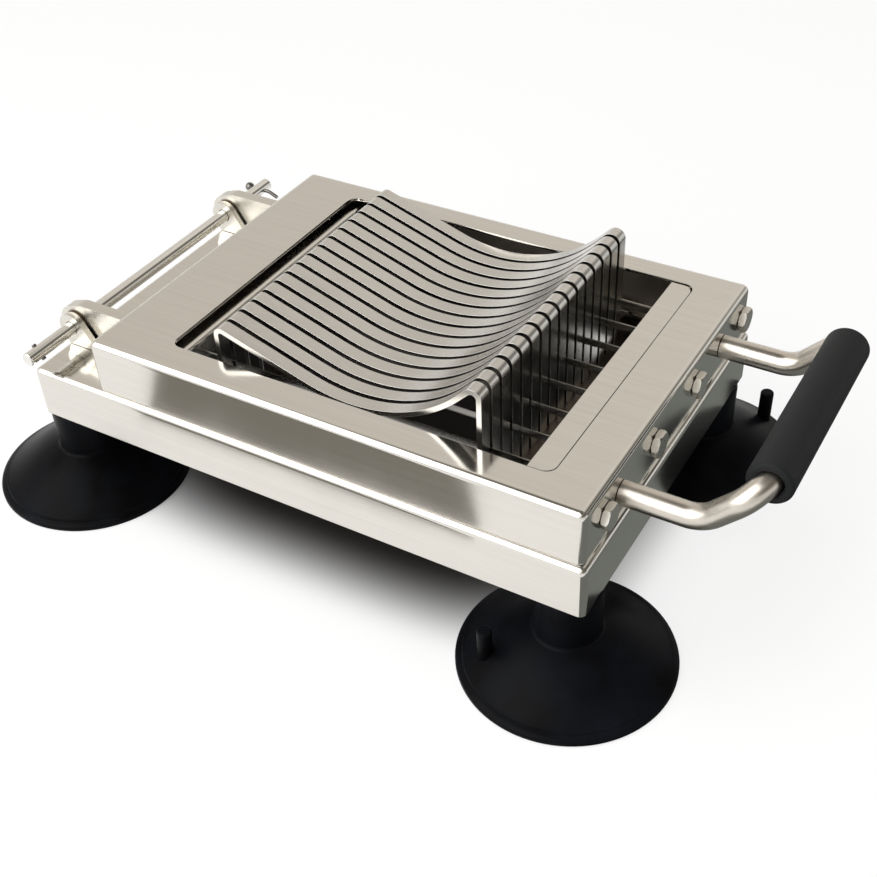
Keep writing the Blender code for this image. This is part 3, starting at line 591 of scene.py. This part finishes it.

# %% [markdown]
# The feet are moulded rubber with a soft shine and a little dust, tinted bluish as a painted sheen. The grip is foam,
# with fine pores and no shine.

# %% Rubber and foam


def make_black(name, colour, dust_and_sheen, shine, dull, grain, depth):
    """A black moulded surface: grain as bumps, clouds of dust and painted sheen in the colour, uneven dullness."""
    material = bpy.data.materials.new(name)
    material.use_nodes = True
    nodes = material.node_tree.nodes
    links = material.node_tree.links
    shader = nodes["Principled BSDF"]
    shader.inputs["Specular IOR Level"].default_value = shine
    place = nodes.new("ShaderNodeTexCoord").outputs["Object"]
    clouds = noise(material.node_tree, place, 30.0, detail=5.0)
    mix = nodes.new("ShaderNodeMix")
    mix.data_type = "RGBA"
    mix.inputs[6].default_value = (*colour, 1)
    mix.inputs[7].default_value = (*dust_and_sheen, 1)
    links.new(spread(material, clouds, 0, 1), mix.inputs["Factor"])
    links.new(mix.outputs[2], shader.inputs["Base Color"])
    links.new(spread(material, clouds, dull * 0.85, dull * 1.15), shader.inputs["Roughness"])
    bump = nodes.new("ShaderNodeBump")
    bump.inputs["Strength"].default_value = 1
    bump.inputs["Distance"].default_value = depth
    links.new(noise(material.node_tree, place, grain, detail=2.0), bump.inputs["Height"])
    links.new(bump.outputs["Normal"], shader.inputs["Normal"])
    return material


# The rubber's bluish clouds are partly dust and partly a painted sheen.
RUBBER = make_black("foot_rubber", (0.002, 0.002, 0.002), (0.006, 0.007, 0.010), 0.05, 0.36, 700.0, 0.00003)
FOAM = make_black("grip_foam", (0.008, 0.009, 0.010), (0.016, 0.017, 0.018), 0.2, 0.6, 1400.0, 0.00012)
print("blacks 2")

# %% [markdown]
# Base frame and lid are both folded from sheet: a top, four walls bent down from it, and a window cut in the top.
# A block with its upper edges bevelled has that outer form. Its floor is deleted and Solidify gives the wall,
# with a second finish inside, where the sheet is left dull as it was rolled and darkened as painted shade.

# %% Folded sheet box
SHEET = 0.002


def folded_box(name, low, high, bend):
    """A sheet box open below, bent round its top edges and its upright corners."""
    box = add_block(name, low, high)
    pick(box, "EDGE", lambda edge: max(vert.co.z for vert in edge.verts) > high[2] - SHEET / 4)
    bpy.ops.mesh.bevel(offset=bend, segments=6, affect="EDGES")
    leave_edit()
    pick(box, "FACE", lambda face: face.normal.z < -0.9)
    bpy.ops.mesh.delete(type="FACE")
    leave_edit()
    box.data.materials.append(SHEET_STEEL)
    box.data.materials.append(RAW_PAINTED_SHADE_STEEL)
    finish_with(box, "SOLIDIFY", thickness=SHEET, offset=-1, use_even_offset=True, material_offset=1)
    return box


def cut_window(piece, name, low, high, corner):
    """Cut a window with rounded corners through the top."""
    tool = add_block(name, low, high)
    pick(tool, "EDGE", lambda edge: runs_along(edge, "Z"))
    bpy.ops.mesh.bevel(offset=corner, segments=6, affect="EDGES")
    leave_edit()
    cut(piece, tool)


BASE_LOW, BASE_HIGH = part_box("base_frame")
LID_LOW, LID_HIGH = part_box("lid_shell")
print("base", tuple(BASE_HIGH - BASE_LOW), "lid", tuple(LID_HIGH - LID_LOW))

# %% Base frame
SHEET_BEND = 0.004
WINDOW_LEDGE = 0.012
WINDOW_CORNER = 0.006

base = folded_box("base_frame_folded", BASE_LOW, BASE_HIGH, SHEET_BEND)
window_low = (LID_LOW.x + WINDOW_LEDGE, LID_LOW.y + WINDOW_LEDGE, BASE_HIGH.z - 0.01)
window_high = (LID_HIGH.x - WINDOW_LEDGE, LID_HIGH.y - WINDOW_LEDGE, BASE_HIGH.z + 0.01)
cut_window(base, "base_window_tool", window_low, window_high, WINDOW_CORNER)
round_edges(base, 0.0004, segments=2, angle=60)
shade(base, 40)
dress(base, None, "sheet_steel", "base", "base_frame")
print("base faces", len(base.data.polygons))

# %% Lid shell with its opening
OPENING_LOW = Vector((LID_LOW.x + 0.0426, LID_LOW.y + 0.0198, LID_HIGH.z - 0.012))
OPENING_HIGH = Vector((LID_HIGH.x - 0.0266, LID_HIGH.y - 0.0166, LID_HIGH.z + 0.012))

lid = folded_box("lid_shell_folded", LID_LOW, LID_HIGH, SHEET_BEND)
cut_window(lid, "lid_window_tool", OPENING_LOW, OPENING_HIGH, 0.006)
round_edges(lid, 0.0005, segments=2, angle=60)
shade(lid, 40)
dress(lid, None, "sheet_steel", "lid", "lid_shell")
print("lid faces", len(lid.data.polygons))

# %% [markdown]
# The cradle is sixteen flat bars, each bent from one strip: up, over a bend, down through a long trough and up to
# a sharp bend at the handle side. A strip's end is extruded along the straights and swept round the bends.

# %% One bar
CRADLE_LENGTH = 0.1626
BAR_WIDTH = 0.0079
BAR_THICKNESS = 0.003
TROUGH_RADIUS = 0.54 * CRADLE_LENGTH
HINGE_SLOPE = math.radians(18)
HANDLE_SLOPE = math.radians(46)
HINGE_BEND = 0.005
HANDLE_BEND = 0.0055
TROUGH_DEPTH = 0.006

bar_low, bar_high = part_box("cradle_bar_01")
low_point = Vector((bar_low.x + 0.52 * CRADLE_LENGTH, 0, LID_HIGH.z - TROUGH_DEPTH))
trough_centre = low_point + Vector((0, 0, TROUGH_RADIUS))


def on_arc(centre, radius, angle):
    """A point on an arc in the upright plane, the angle counted from +X towards +Z."""
    return Vector((centre[0] + radius * math.cos(angle), 0, centre[2] + radius * math.sin(angle)))


def bend_centre(point, centre_x, radius, angle):
    """Where a bend's centre lies when a straight through the point leaves it at the angle."""
    height = (math.cos(angle) * (point.x - centre_x) + math.sin(angle) * point.z - radius) / math.sin(angle)
    return Vector((centre_x, 0, height))


trough_start = on_arc(trough_centre, TROUGH_RADIUS, math.radians(270) - HINGE_SLOPE)
trough_end = on_arc(trough_centre, TROUGH_RADIUS, math.radians(270) + HANDLE_SLOPE)
hinge_centre = bend_centre(trough_start, bar_low.x + HINGE_BEND, HINGE_BEND, math.radians(90) - HINGE_SLOPE)
handle_centre = bend_centre(
    trough_end, bar_low.x + CRADLE_LENGTH - HANDLE_BEND, HANDLE_BEND, math.radians(90) + HANDLE_SLOPE
)
print("hinge bend at", round(hinge_centre.z, 4), "handle bend at", round(handle_centre.z, 4))

# %% Bend the strip


def bend_bar():
    bpy.ops.object.select_all(action="DESELECT")
    middle = (bar_low.x + BAR_THICKNESS / 2, bar_low.y + BAR_WIDTH / 2, bar_low.z)
    bpy.ops.mesh.primitive_plane_add(size=1, location=middle)
    bar = bpy.context.object
    bar.name = "cradle_bar_bent_01"
    bar.scale = (BAR_THICKNESS, BAR_WIDTH, 1)
    keep_place(bar)
    pick(bar, "FACE", lambda face: True)
    push_out((0, 0, hinge_centre.z - bar_low.z))
    across = AXIS_STEPS["Y"]
    turn_end(math.radians(90) + HINGE_SLOPE, hinge_centre, across, 10)
    push_out(trough_start - on_arc(hinge_centre, HINGE_BEND, math.radians(90) - HINGE_SLOPE))
    turn_end(-HINGE_SLOPE - HANDLE_SLOPE, trough_centre, across, 40)
    push_out(on_arc(handle_centre, HANDLE_BEND, math.radians(90) + HANDLE_SLOPE) - trough_end)
    turn_end(math.radians(90) + HANDLE_SLOPE, handle_centre, across, 14)
    push_out((0, 0, bar_low.z - handle_centre.z))
    leave_edit()
    clean_shell(bar)
    round_edges(bar, 0.0002, segments=2, angle=50)
    return shade(bar, 50)


first_bar = bend_bar()
print("bar", [round(value, 4) for value in first_bar.dimensions], "faces", len(first_bar.data.polygons))

# %% Sixteen bars
bars = [first_bar]
for number in range(2, 17):
    low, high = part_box("cradle_bar_{:02d}".format(number))
    step = (0, low.y - bar_low.y, 0)
    bars.append(copy_of(first_bar, "cradle_bar_bent_{:02d}".format(number), step))
for number, bar in enumerate(bars, 1):
    dress(bar, BAR_STEEL, "bar_steel", "base", "cradle_bar_{:02d}".format(number))
    # The sides along the row, all but the first bar's front side, get the near-black steel: painted shade between
    # bars.
    bar.data.materials.append(BAR_GAP_PAINTED_SHADE)
    for face in bar.data.polygons:
        painted_shade_side = face.normal.y > 0.95 or (face.normal.y < -0.95 and number > 1)
        face.material_index = 1 if painted_shade_side else 0
print("bars", len(bars))

# %% [markdown]
# Eight thin blades are stretched between two clamps in the lid. A blade is a strip with its lower edge ground thin.

# %% Blades
blade_low, blade_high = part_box("blade_1")
first_blade = add_block("blade_ground_1", blade_low, blade_high)
slice_at(first_blade, (0, 0, blade_low.z + 0.0015), (0, 0, 1))
pick(first_blade, "VERT", lambda vert: vert.co.z < blade_low.z + 0.0001)
bpy.ops.transform.resize(value=(1, 0.15, 1))
leave_edit()
blades = [first_blade]
for number in range(2, 9):
    low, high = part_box("blade_{}".format(number))
    blades.append(copy_of(first_blade, "blade_ground_{}".format(number), (0, low.y - blade_low.y, 0)))
for number, blade in enumerate(blades, 1):
    shade(blade)
    dress(blade, BLADE_STEEL, "blade_steel", "lid", "blade_{}".format(number))
print("blades", len(blades))

# %% Clamps
clamp_low, clamp_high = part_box("blade_clamp_hinge")
hinge_clamp = add_block("clamp_hinge_rounded", clamp_low, clamp_high)
round_edges(hinge_clamp, 0.003, segments=5)
shade(hinge_clamp)
dress(hinge_clamp, SHEET_STEEL, "fitting_steel", "lid", "blade_clamp_hinge")

clamp_low, clamp_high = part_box("blade_clamp_handle")
body_top = clamp_high.z - 0.0043
handle_clamp = add_block("clamp_handle_flush", clamp_low, (clamp_high.x, clamp_high.y, body_top))
strip_low = (clamp_low.x, OPENING_LOW.y + 0.0002, clamp_high.z - 0.012)
strip_high = (OPENING_HIGH.x - 0.0002, OPENING_HIGH.y - 0.002, clamp_high.z)
strip = add_block("clamp_strip_tool", strip_low, strip_high)
pick(strip, "EDGE", lambda edge: runs_along(edge, "Z") and middle_of(edge).x > clamp_low.x + 0.006)
bpy.ops.mesh.bevel(offset=0.006, segments=6, affect="EDGES")
leave_edit()
cut(handle_clamp, strip, "UNION")
round_edges(handle_clamp, 0.0006, segments=3, angle=50)
shade(handle_clamp)
dress(handle_clamp, SHEET_STEEL, "fitting_steel", "lid", "blade_clamp_handle")
print("clamps 2")

# %% [markdown]
# Four hexagon bolts pull the handle clamp outwards and so stretch the blades.
# A six-sided cylinder is the head. Its outer end is cut back a little and narrowed, as a turned chamfer does.

# %% Tension bolts
BOLT_RADIUS = 0.004
HEAD_HEIGHT = 0.004

bolt_low, bolt_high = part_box("tension_bolt_1")
bolt_middle = (bolt_low + bolt_high) / 2
head_start = (bolt_high.x - HEAD_HEIGHT, bolt_middle.y, bolt_middle.z)
first_bolt = add_rod("tension_bolt_head_1", 0.0075, head_start, HEAD_HEIGHT, "X", sides=6)
chamfer = add_rod("bolt_chamfer_tool", 0.0076, head_start, HEAD_HEIGHT, "X", sides=48)
pick(chamfer, "FACE", lambda face: abs(face.normal.x) > 0.9)
bpy.ops.mesh.bevel(offset=0.0009, segments=1, affect="EDGES")
leave_edit()
cut(first_bolt, chamfer, "INTERSECT")
round_edges(first_bolt, 0.0003, segments=2, angle=50)
shank_start = (bolt_low.x, bolt_middle.y, bolt_middle.z)
shank = add_rod("bolt_shank_tool", BOLT_RADIUS, shank_start, bolt_high.x - bolt_low.x - HEAD_HEIGHT / 2, "X", sides=24)
cut(first_bolt, shank, "UNION")
bolts = [first_bolt]
for number in range(2, 5):
    low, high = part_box("tension_bolt_{}".format(number))
    bolts.append(copy_of(first_bolt, "tension_bolt_head_{}".format(number), (0, low.y - bolt_low.y, 0)))
for number, bolt in enumerate(bolts, 1):
    shade(bolt)
    dress(bolt, FITTING_STEEL, "fitting_steel", "lid", "tension_bolt_{}".format(number))
print("bolts", len(bolts))

# %% [markdown]
# The lid swings on a long rod through two ears of the base and two lugs of the lid.
# Ear and lug are plates with a round eye. A disc and a block with moved corners are joined, then bored.

# %% Ears
ROD_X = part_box("hinge_rod")[0].x + 0.004
ROD_Z = 0.097
EAR_RADIUS = 0.0088


def move_corners(piece, corners):
    """Set the upright-plane place of a block's corners, each given as old and new (x, z)."""
    for old, new in corners:
        pick(piece, "VERT", lambda vert: (vert.co.x - old[0]) ** 2 + (vert.co.z - old[1]) ** 2 < 0.0000001)
        bpy.ops.transform.translate(value=(new[0] - old[0], 0, new[1] - old[1]))
        leave_edit()


def on_rod(radius, degrees):
    """A point round the rod in the upright plane, the angle counted from +X towards +Z."""
    angle = math.radians(degrees)
    return (ROD_X + radius * math.cos(angle), 0, ROD_Z + radius * math.sin(angle))


def bore(piece, radius, low_y, high_y):
    cut(piece, add_rod("bore_tool", radius, (ROD_X, low_y - 0.002, ROD_Z), high_y - low_y + 0.004, "Y", sides=40))


def make_ear(side):
    low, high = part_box("base_ear_" + side)
    ear = add_rod("ear_rounded_" + side, EAR_RADIUS, (ROD_X, low.y, ROD_Z), high.y - low.y, "Y", sides=64)
    foot = add_block("ear_foot_tool", (ROD_X - 0.004, low.y, low.z), (high.x, high.y, ROD_Z))
    front = on_rod(EAR_RADIUS, 22)
    back = on_rod(EAR_RADIUS, 222)
    corners = [((high.x, ROD_Z), (front[0], front[2])), ((ROD_X - 0.004, ROD_Z), (back[0], back[2]))]
    move_corners(foot, corners)
    cut(ear, foot, "UNION")
    bore(ear, 0.0043, low.y, high.y)
    round_edges(ear, 0.0007, segments=3, angle=50)
    return shade(ear)


for side in ("near", "far"):
    dress(make_ear(side), FITTING_STEEL, "fitting_steel", "base", "base_ear_" + side)
print("ears 2")

# %% Lugs
LUG_RADIUS = 0.0117


def make_lug(side):
    """The eye grows upwards into the neck, which meets the lid's wall below its top edge."""
    low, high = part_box("lid_lug_" + side)
    lug = add_rod("lug_rounded_" + side, LUG_RADIUS, (ROD_X, low.y, ROD_Z), high.y - low.y, "Y", sides=64)
    neck = add_block("lug_neck_tool", (ROD_X, low.y, ROD_Z - 0.0065), (high.x, high.y, high.z))
    corners = [
        ((ROD_X, ROD_Z - 0.0065), (ROD_X + 0.0055, ROD_Z - 0.0100)),
        ((ROD_X, high.z), (ROD_X - 0.0050, ROD_Z + 0.0104)),
    ]
    move_corners(neck, corners)
    slice_at(neck, (ROD_X + 0.0005, 0, 0), (1, 0, 0))
    slice_at(neck, (ROD_X + 0.006, 0, 0), (1, 0, 0))
    pick(neck, "VERT", lambda vert: abs(vert.co.x - ROD_X - 0.0005) < 0.0002 and vert.co.z > ROD_Z)
    bpy.ops.transform.translate(value=(0, 0, ROD_Z + 0.0125 - middle_height(neck)))
    leave_edit()
    pick(neck, "VERT", lambda vert: abs(vert.co.x - ROD_X - 0.006) < 0.0002 and vert.co.z > ROD_Z)
    bpy.ops.transform.translate(value=(0, 0, high.z - middle_height(neck)))
    leave_edit()
    cut(lug, neck, "UNION")
    bore(lug, 0.0043, low.y, high.y)
    round_edges(lug, 0.0010, segments=4, angle=35)
    return shade(lug)


def middle_height(piece):
    """Mean height of the points that are selected in edit mode."""
    chosen = [vert.co.z for vert in bmesh.from_edit_mesh(piece.data).verts if vert.select]
    return sum(chosen) / len(chosen)


for side in ("near", "far"):
    dress(make_lug(side), FITTING_STEEL, "fitting_steel", "lid", "lid_lug_" + side)
print("lugs 2")

# %% Washers, rod and pins
for side in ("near", "far"):
    low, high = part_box("hinge_washer_" + side)
    radius = (high.x - low.x) / 2
    washer = add_rod("washer_ring_" + side, radius, (ROD_X, low.y, ROD_Z), high.y - low.y, "Y", sides=48)
    bore(washer, 0.0043, low.y, high.y)
    round_edges(washer, 0.0002, segments=2, angle=50)
    shade(washer)
    # The washers get the dark brown steel: painted shade between ear and lug.
    dress(washer, WASHER_PAINTED_SHADE_STEEL, "fitting_steel", "base", "hinge_washer_" + side)

low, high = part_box("hinge_rod")
rod = add_rod("hinge_rod_turned", 0.004, (ROD_X, low.y, ROD_Z), high.y - low.y, "Y", sides=48)
round_edges(rod, 0.0009, segments=3, angle=50)
shade(rod)
dress(rod, ROD_STEEL, "tube_steel", "base", "hinge_rod")

low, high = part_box("rod_pin_near")
middle = (low + high) / 2
half_pin = 0.0052
near_pin = add_rod("rod_pin_dowel", 0.0014, middle - Vector((half_pin, 0, 0)), 2 * half_pin, "X", sides=24)
pick(near_pin, "VERT", lambda vert: True)
bpy.ops.transform.rotate(value=math.radians(-52), orient_axis="Y", center_override=tuple(middle))
leave_edit()
round_edges(near_pin, 0.0005, segments=3, angle=50)
shade(near_pin)
dress(near_pin, PIN_STEEL, "fitting_steel", "base", "rod_pin_near")
print("rod and near pin", tuple(near_pin.dimensions), "solid", tuple(high - low))

# %% Split pin
low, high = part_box("rod_pin_far")
pin_y = (low.y + high.y) / 2


HEAD_RADIUS = 0.0029
WIRE_RADIUS = 0.0012


def bend_pin():
    """A round head, a wire straight through the rod, and the wire's end bent down a little."""
    start = Vector((low.x + HEAD_RADIUS, pin_y, ROD_Z))
    pin = add_rod("rod_pin_split", HEAD_RADIUS, start - Vector((HEAD_RADIUS, 0, 0)), 2 * HEAD_RADIUS, "X", sides=32)
    pick(pin, "FACE", lambda face: abs(face.normal.x) > 0.9)
    bpy.ops.mesh.bevel(offset=HEAD_RADIUS * 0.9, segments=8, affect="EDGES")
    leave_edit()
    wire = add_rod("pin_wire_tool", WIRE_RADIUS, start, 0.0148, "X", sides=16)
    pick(wire, "FACE", lambda face: face.normal.x > 0.9)
    turn_end(math.radians(24), start + Vector((0.0148, 0, -0.006)), AXIS_STEPS["Y"], 4)
    push_out(Vector((math.cos(math.radians(24)), 0, -math.sin(math.radians(24)))) * 0.0055)
    leave_edit()
    clean_shell(wire)
    cut(pin, wire, "UNION")
    return shade(pin, 60)


far_pin = bend_pin()
dress(far_pin, PIN_STEEL, "fitting_steel", "base", "rod_pin_far")
print("split pin", tuple(far_pin.dimensions), "solid", tuple(high - low))

# %% [markdown]
# The handle is one tube, bent up and then across. Half of it is swept from a circle, and Mirror makes the other half.

# %% Handle tube
TUBE_RADIUS = 0.0065
TUBE_WALL = 0.0012
ARM_REACH = 0.041
HANDLE_TILT = math.radians(46)
HANDLE_SLANT = 0.0375
TILT_BEND = 0.020
CORNER_BEND = 0.016

tube_low, tube_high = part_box("handle_tube")
arm_y = tube_low.y + TUBE_RADIUS
arm_z = tube_low.z + TUBE_RADIUS
slanted = Vector((math.cos(HANDLE_TILT), 0, math.sin(HANDLE_TILT)))
tilt_take = TILT_BEND * math.tan(HANDLE_TILT / 2)


def bend_tube():
    bpy.ops.object.select_all(action="DESELECT")
    root = Vector((tube_low.x, arm_y, arm_z))
    bpy.ops.mesh.primitive_circle_add(
        vertices=40, radius=TUBE_RADIUS, fill_type="NOTHING", location=root, rotation=AXIS_TURNS["X"]
    )
    bpy.context.object.name = "handle_tube_bent"
    tube = keep_place(bpy.context.object)
    pick(tube, "EDGE", lambda edge: True)
    end = root + Vector((ARM_REACH - tilt_take, 0, 0))
    push_out(end - root)
    turn_end(-HANDLE_TILT, end + Vector((0, 0, TILT_BEND)), AXIS_STEPS["Y"], 10)
    knee = root + Vector((ARM_REACH, 0, 0))
    push_out(slanted * (HANDLE_SLANT - tilt_take - CORNER_BEND))
    corner_start = knee + slanted * (HANDLE_SLANT - CORNER_BEND)
    axis = slanted.cross(AXIS_STEPS["Y"])
    turn_end(math.radians(90), corner_start + Vector((0, CORNER_BEND, 0)), axis, 14)
    push_out((0, -(corner_start.y + CORNER_BEND), 0))
    leave_edit()
    finish_with(tube, "MIRROR", use_axis=(False, True, False), merge_threshold=0.0001)
    clean_shell(tube)
    finish_with(tube, "SOLIDIFY", thickness=TUBE_WALL, offset=-1)
    return shade(tube, 60)


tube = bend_tube()
dress(tube, TUBE_STEEL, "tube_steel", "lid", "handle_tube")
print("tube", [round(value, 4) for value in tube.dimensions], "cad", [round(value, 4) for value in tube_high - tube_low])

# %% [markdown]
# The grip is a foam sleeve. It starts as a cylinder, its ends are inset and bridged to make the bore.

# %% Foam grip
grip_low, grip_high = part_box("handle_grip")
grip_middle = (grip_low + grip_high) / 2
grip_radius = (grip_high.z - grip_low.z) / 2
BORE_RADIUS = 0.0067

grip_start = (grip_middle.x, grip_low.y, grip_middle.z)
grip = add_rod("handle_grip_sleeve", grip_radius, grip_start, grip_high.y - grip_low.y, "Y", sides=64)
pick(grip, "FACE", lambda face: abs(face.normal.y) > 0.9)
bpy.ops.mesh.inset(thickness=grip_radius - BORE_RADIUS)
bpy.ops.mesh.delete(type="FACE")
leave_edit()
pick(grip, "EDGE", lambda edge: edge.is_boundary)
bpy.ops.mesh.bridge_edge_loops()
leave_edit()
clean_shell(grip)
round_edges(grip, 0.0022, segments=5, angle=50)
shade(grip, 40)
dress(grip, FOAM, "grip_foam", "lid", "handle_grip")
print("grip", [round(value, 4) for value in grip.dimensions])

# %% [markdown]
# Each suction foot is one rubber moulding: a round neck, a wide thin dome with a stepped rim, and a release stub.
# Half a section is drawn point by point with extrude and spun right round.

# %% Draw a section and spin it


def draw_line(name, points):
    """An open line of points, extruded one after another from a first point."""
    bpy.ops.object.select_all(action="DESELECT")
    bpy.ops.mesh.primitive_plane_add(size=0.001, location=points[0])
    bpy.context.object.name = name
    line = keep_place(bpy.context.object)
    pick(line, "VERT", lambda vert: True)
    bpy.ops.mesh.merge(type="CENTER")
    for first, second in zip(points, points[1:]):
        step = Vector(second) - Vector(first)
        bpy.ops.mesh.extrude_vertices_move(TRANSFORM_OT_translate={"value": tuple(step)})
    return line


def arc_line(centre, radius, start, end, count):
    """Points on an arc in the upright plane, angles in degrees."""
    angles = [math.radians(start + (end - start) * step / count) for step in range(count + 1)]
    return [(centre[0] + radius * math.cos(angle), 0, centre[1] + radius * math.sin(angle)) for angle in angles]


FOOT_RADIUS = 0.058
NECK_RADIUS = 0.0178
FOOT_HEIGHT = 0.0531


def foot_section():
    """From the top of the neck down the dome, over the rim and back up inside the hollow."""
    points = [(0.0, 0, FOOT_HEIGHT), (NECK_RADIUS - 0.001, 0, FOOT_HEIGHT), (NECK_RADIUS, 0, FOOT_HEIGHT - 0.001)]
    points += arc_line((NECK_RADIUS + 0.0025, 0.0265), 0.0025, 180, 252, 6)
    points += [(0.0270, 0, 0.0214), (0.0340, 0, 0.0178), (0.0400, 0, 0.0142), (0.0455, 0, 0.0107), (0.0500, 0, 0.0079)]
    points += [(0.0532, 0, 0.0060), (0.0541, 0, 0.0057), (0.0546, 0, 0.0047), (0.0555, 0, 0.0044)]
    points += [(0.0570, 0, 0.0036), (0.0577, 0, 0.0031), (FOOT_RADIUS, 0, 0.0022), (FOOT_RADIUS, 0, 0.0008)]
    points += [(0.0573, 0, 0), (0.0510, 0, 0), (0.0420, 0, 0.0048), (0.0280, 0, 0.0105), (0.0120, 0, 0.0150), (0.0, 0, 0.0160)]
    return points


def mould_foot():
    foot = draw_line("foot_moulded", foot_section())
    bpy.ops.mesh.select_all(action="SELECT")
    turn_end(math.tau, (0, 0, 0), AXIS_STEPS["Z"], 96)
    leave_edit()
    clean_shell(foot)
    return foot


first_foot = mould_foot()
print("foot", [round(value, 4) for value in first_foot.dimensions], "faces", len(first_foot.data.polygons))

# %% Stub and four feet
STUB_RADIUS = 0.004
STUB_TOP = 0.030
STUBS = {
    "near_hinge": (45.0, 0.745),
    "far_hinge": (-45.0, 0.745),
    "near_handle": (220.0, 0.745),
    "far_handle": (55.0, 0.8),
}


def make_foot(corner):
    """A copy of the foot at its corner, its stub turned as seen there."""
    low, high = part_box("foot_bolt_" + corner)
    centre = (low + high) / 2
    foot = copy_of(first_foot, "foot_moulded_" + corner, (centre.x, centre.y, 0))
    degrees, share = STUBS[corner]
    reach = share * FOOT_RADIUS
    spot = (centre.x + reach * math.cos(math.radians(degrees)), centre.y + reach * math.sin(math.radians(degrees)), 0.007)
    stub = add_rod("stub_tool", STUB_RADIUS, spot, STUB_TOP - 0.007, "Z", sides=32)
    pick(stub, "FACE", lambda face: face.normal.z > 0.9)
    bpy.ops.mesh.bevel(offset=0.0012, segments=3, affect="EDGES")
    leave_edit()
    cut(foot, stub, "UNION")
    return shade(foot, 40)


for corner in STUBS:
    dress(make_foot(corner), RUBBER, "foot_rubber", "base", "suction_foot_" + corner)
bpy.data.objects.remove(first_foot, do_unlink=True)
print("feet", len(STUBS))

# %% [markdown]
# Below the lid, two rails carry the bars, and in each corner a plate and a bolt hold a foot. They are hidden in the
# photograph but show from below, so the rails get softened edges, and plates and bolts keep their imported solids.

# %% Rails, plates and foot bolts
for side in ("hinge", "handle"):
    low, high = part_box("cradle_rail_" + side)
    rail = add_block("rail_softened_" + side, low, high)
    round_edges(rail, 0.0008, segments=3)
    shade(rail)
    # The rails get the darkened dull steel: painted shade below the bars.
    dress(rail, RAW_PAINTED_SHADE_STEEL, "fitting_steel", "base", "cradle_rail_" + side)

for name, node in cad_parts.items():
    if name.startswith("corner_plate") or name.startswith("foot_bolt"):
        # Plates and bolts get the darkened dull steel: painted shade under the base.
        node.data.materials.clear()
        node.data.materials.append(RAW_PAINTED_SHADE_STEEL)
print("rails 2, plates and bolts keep their solids")
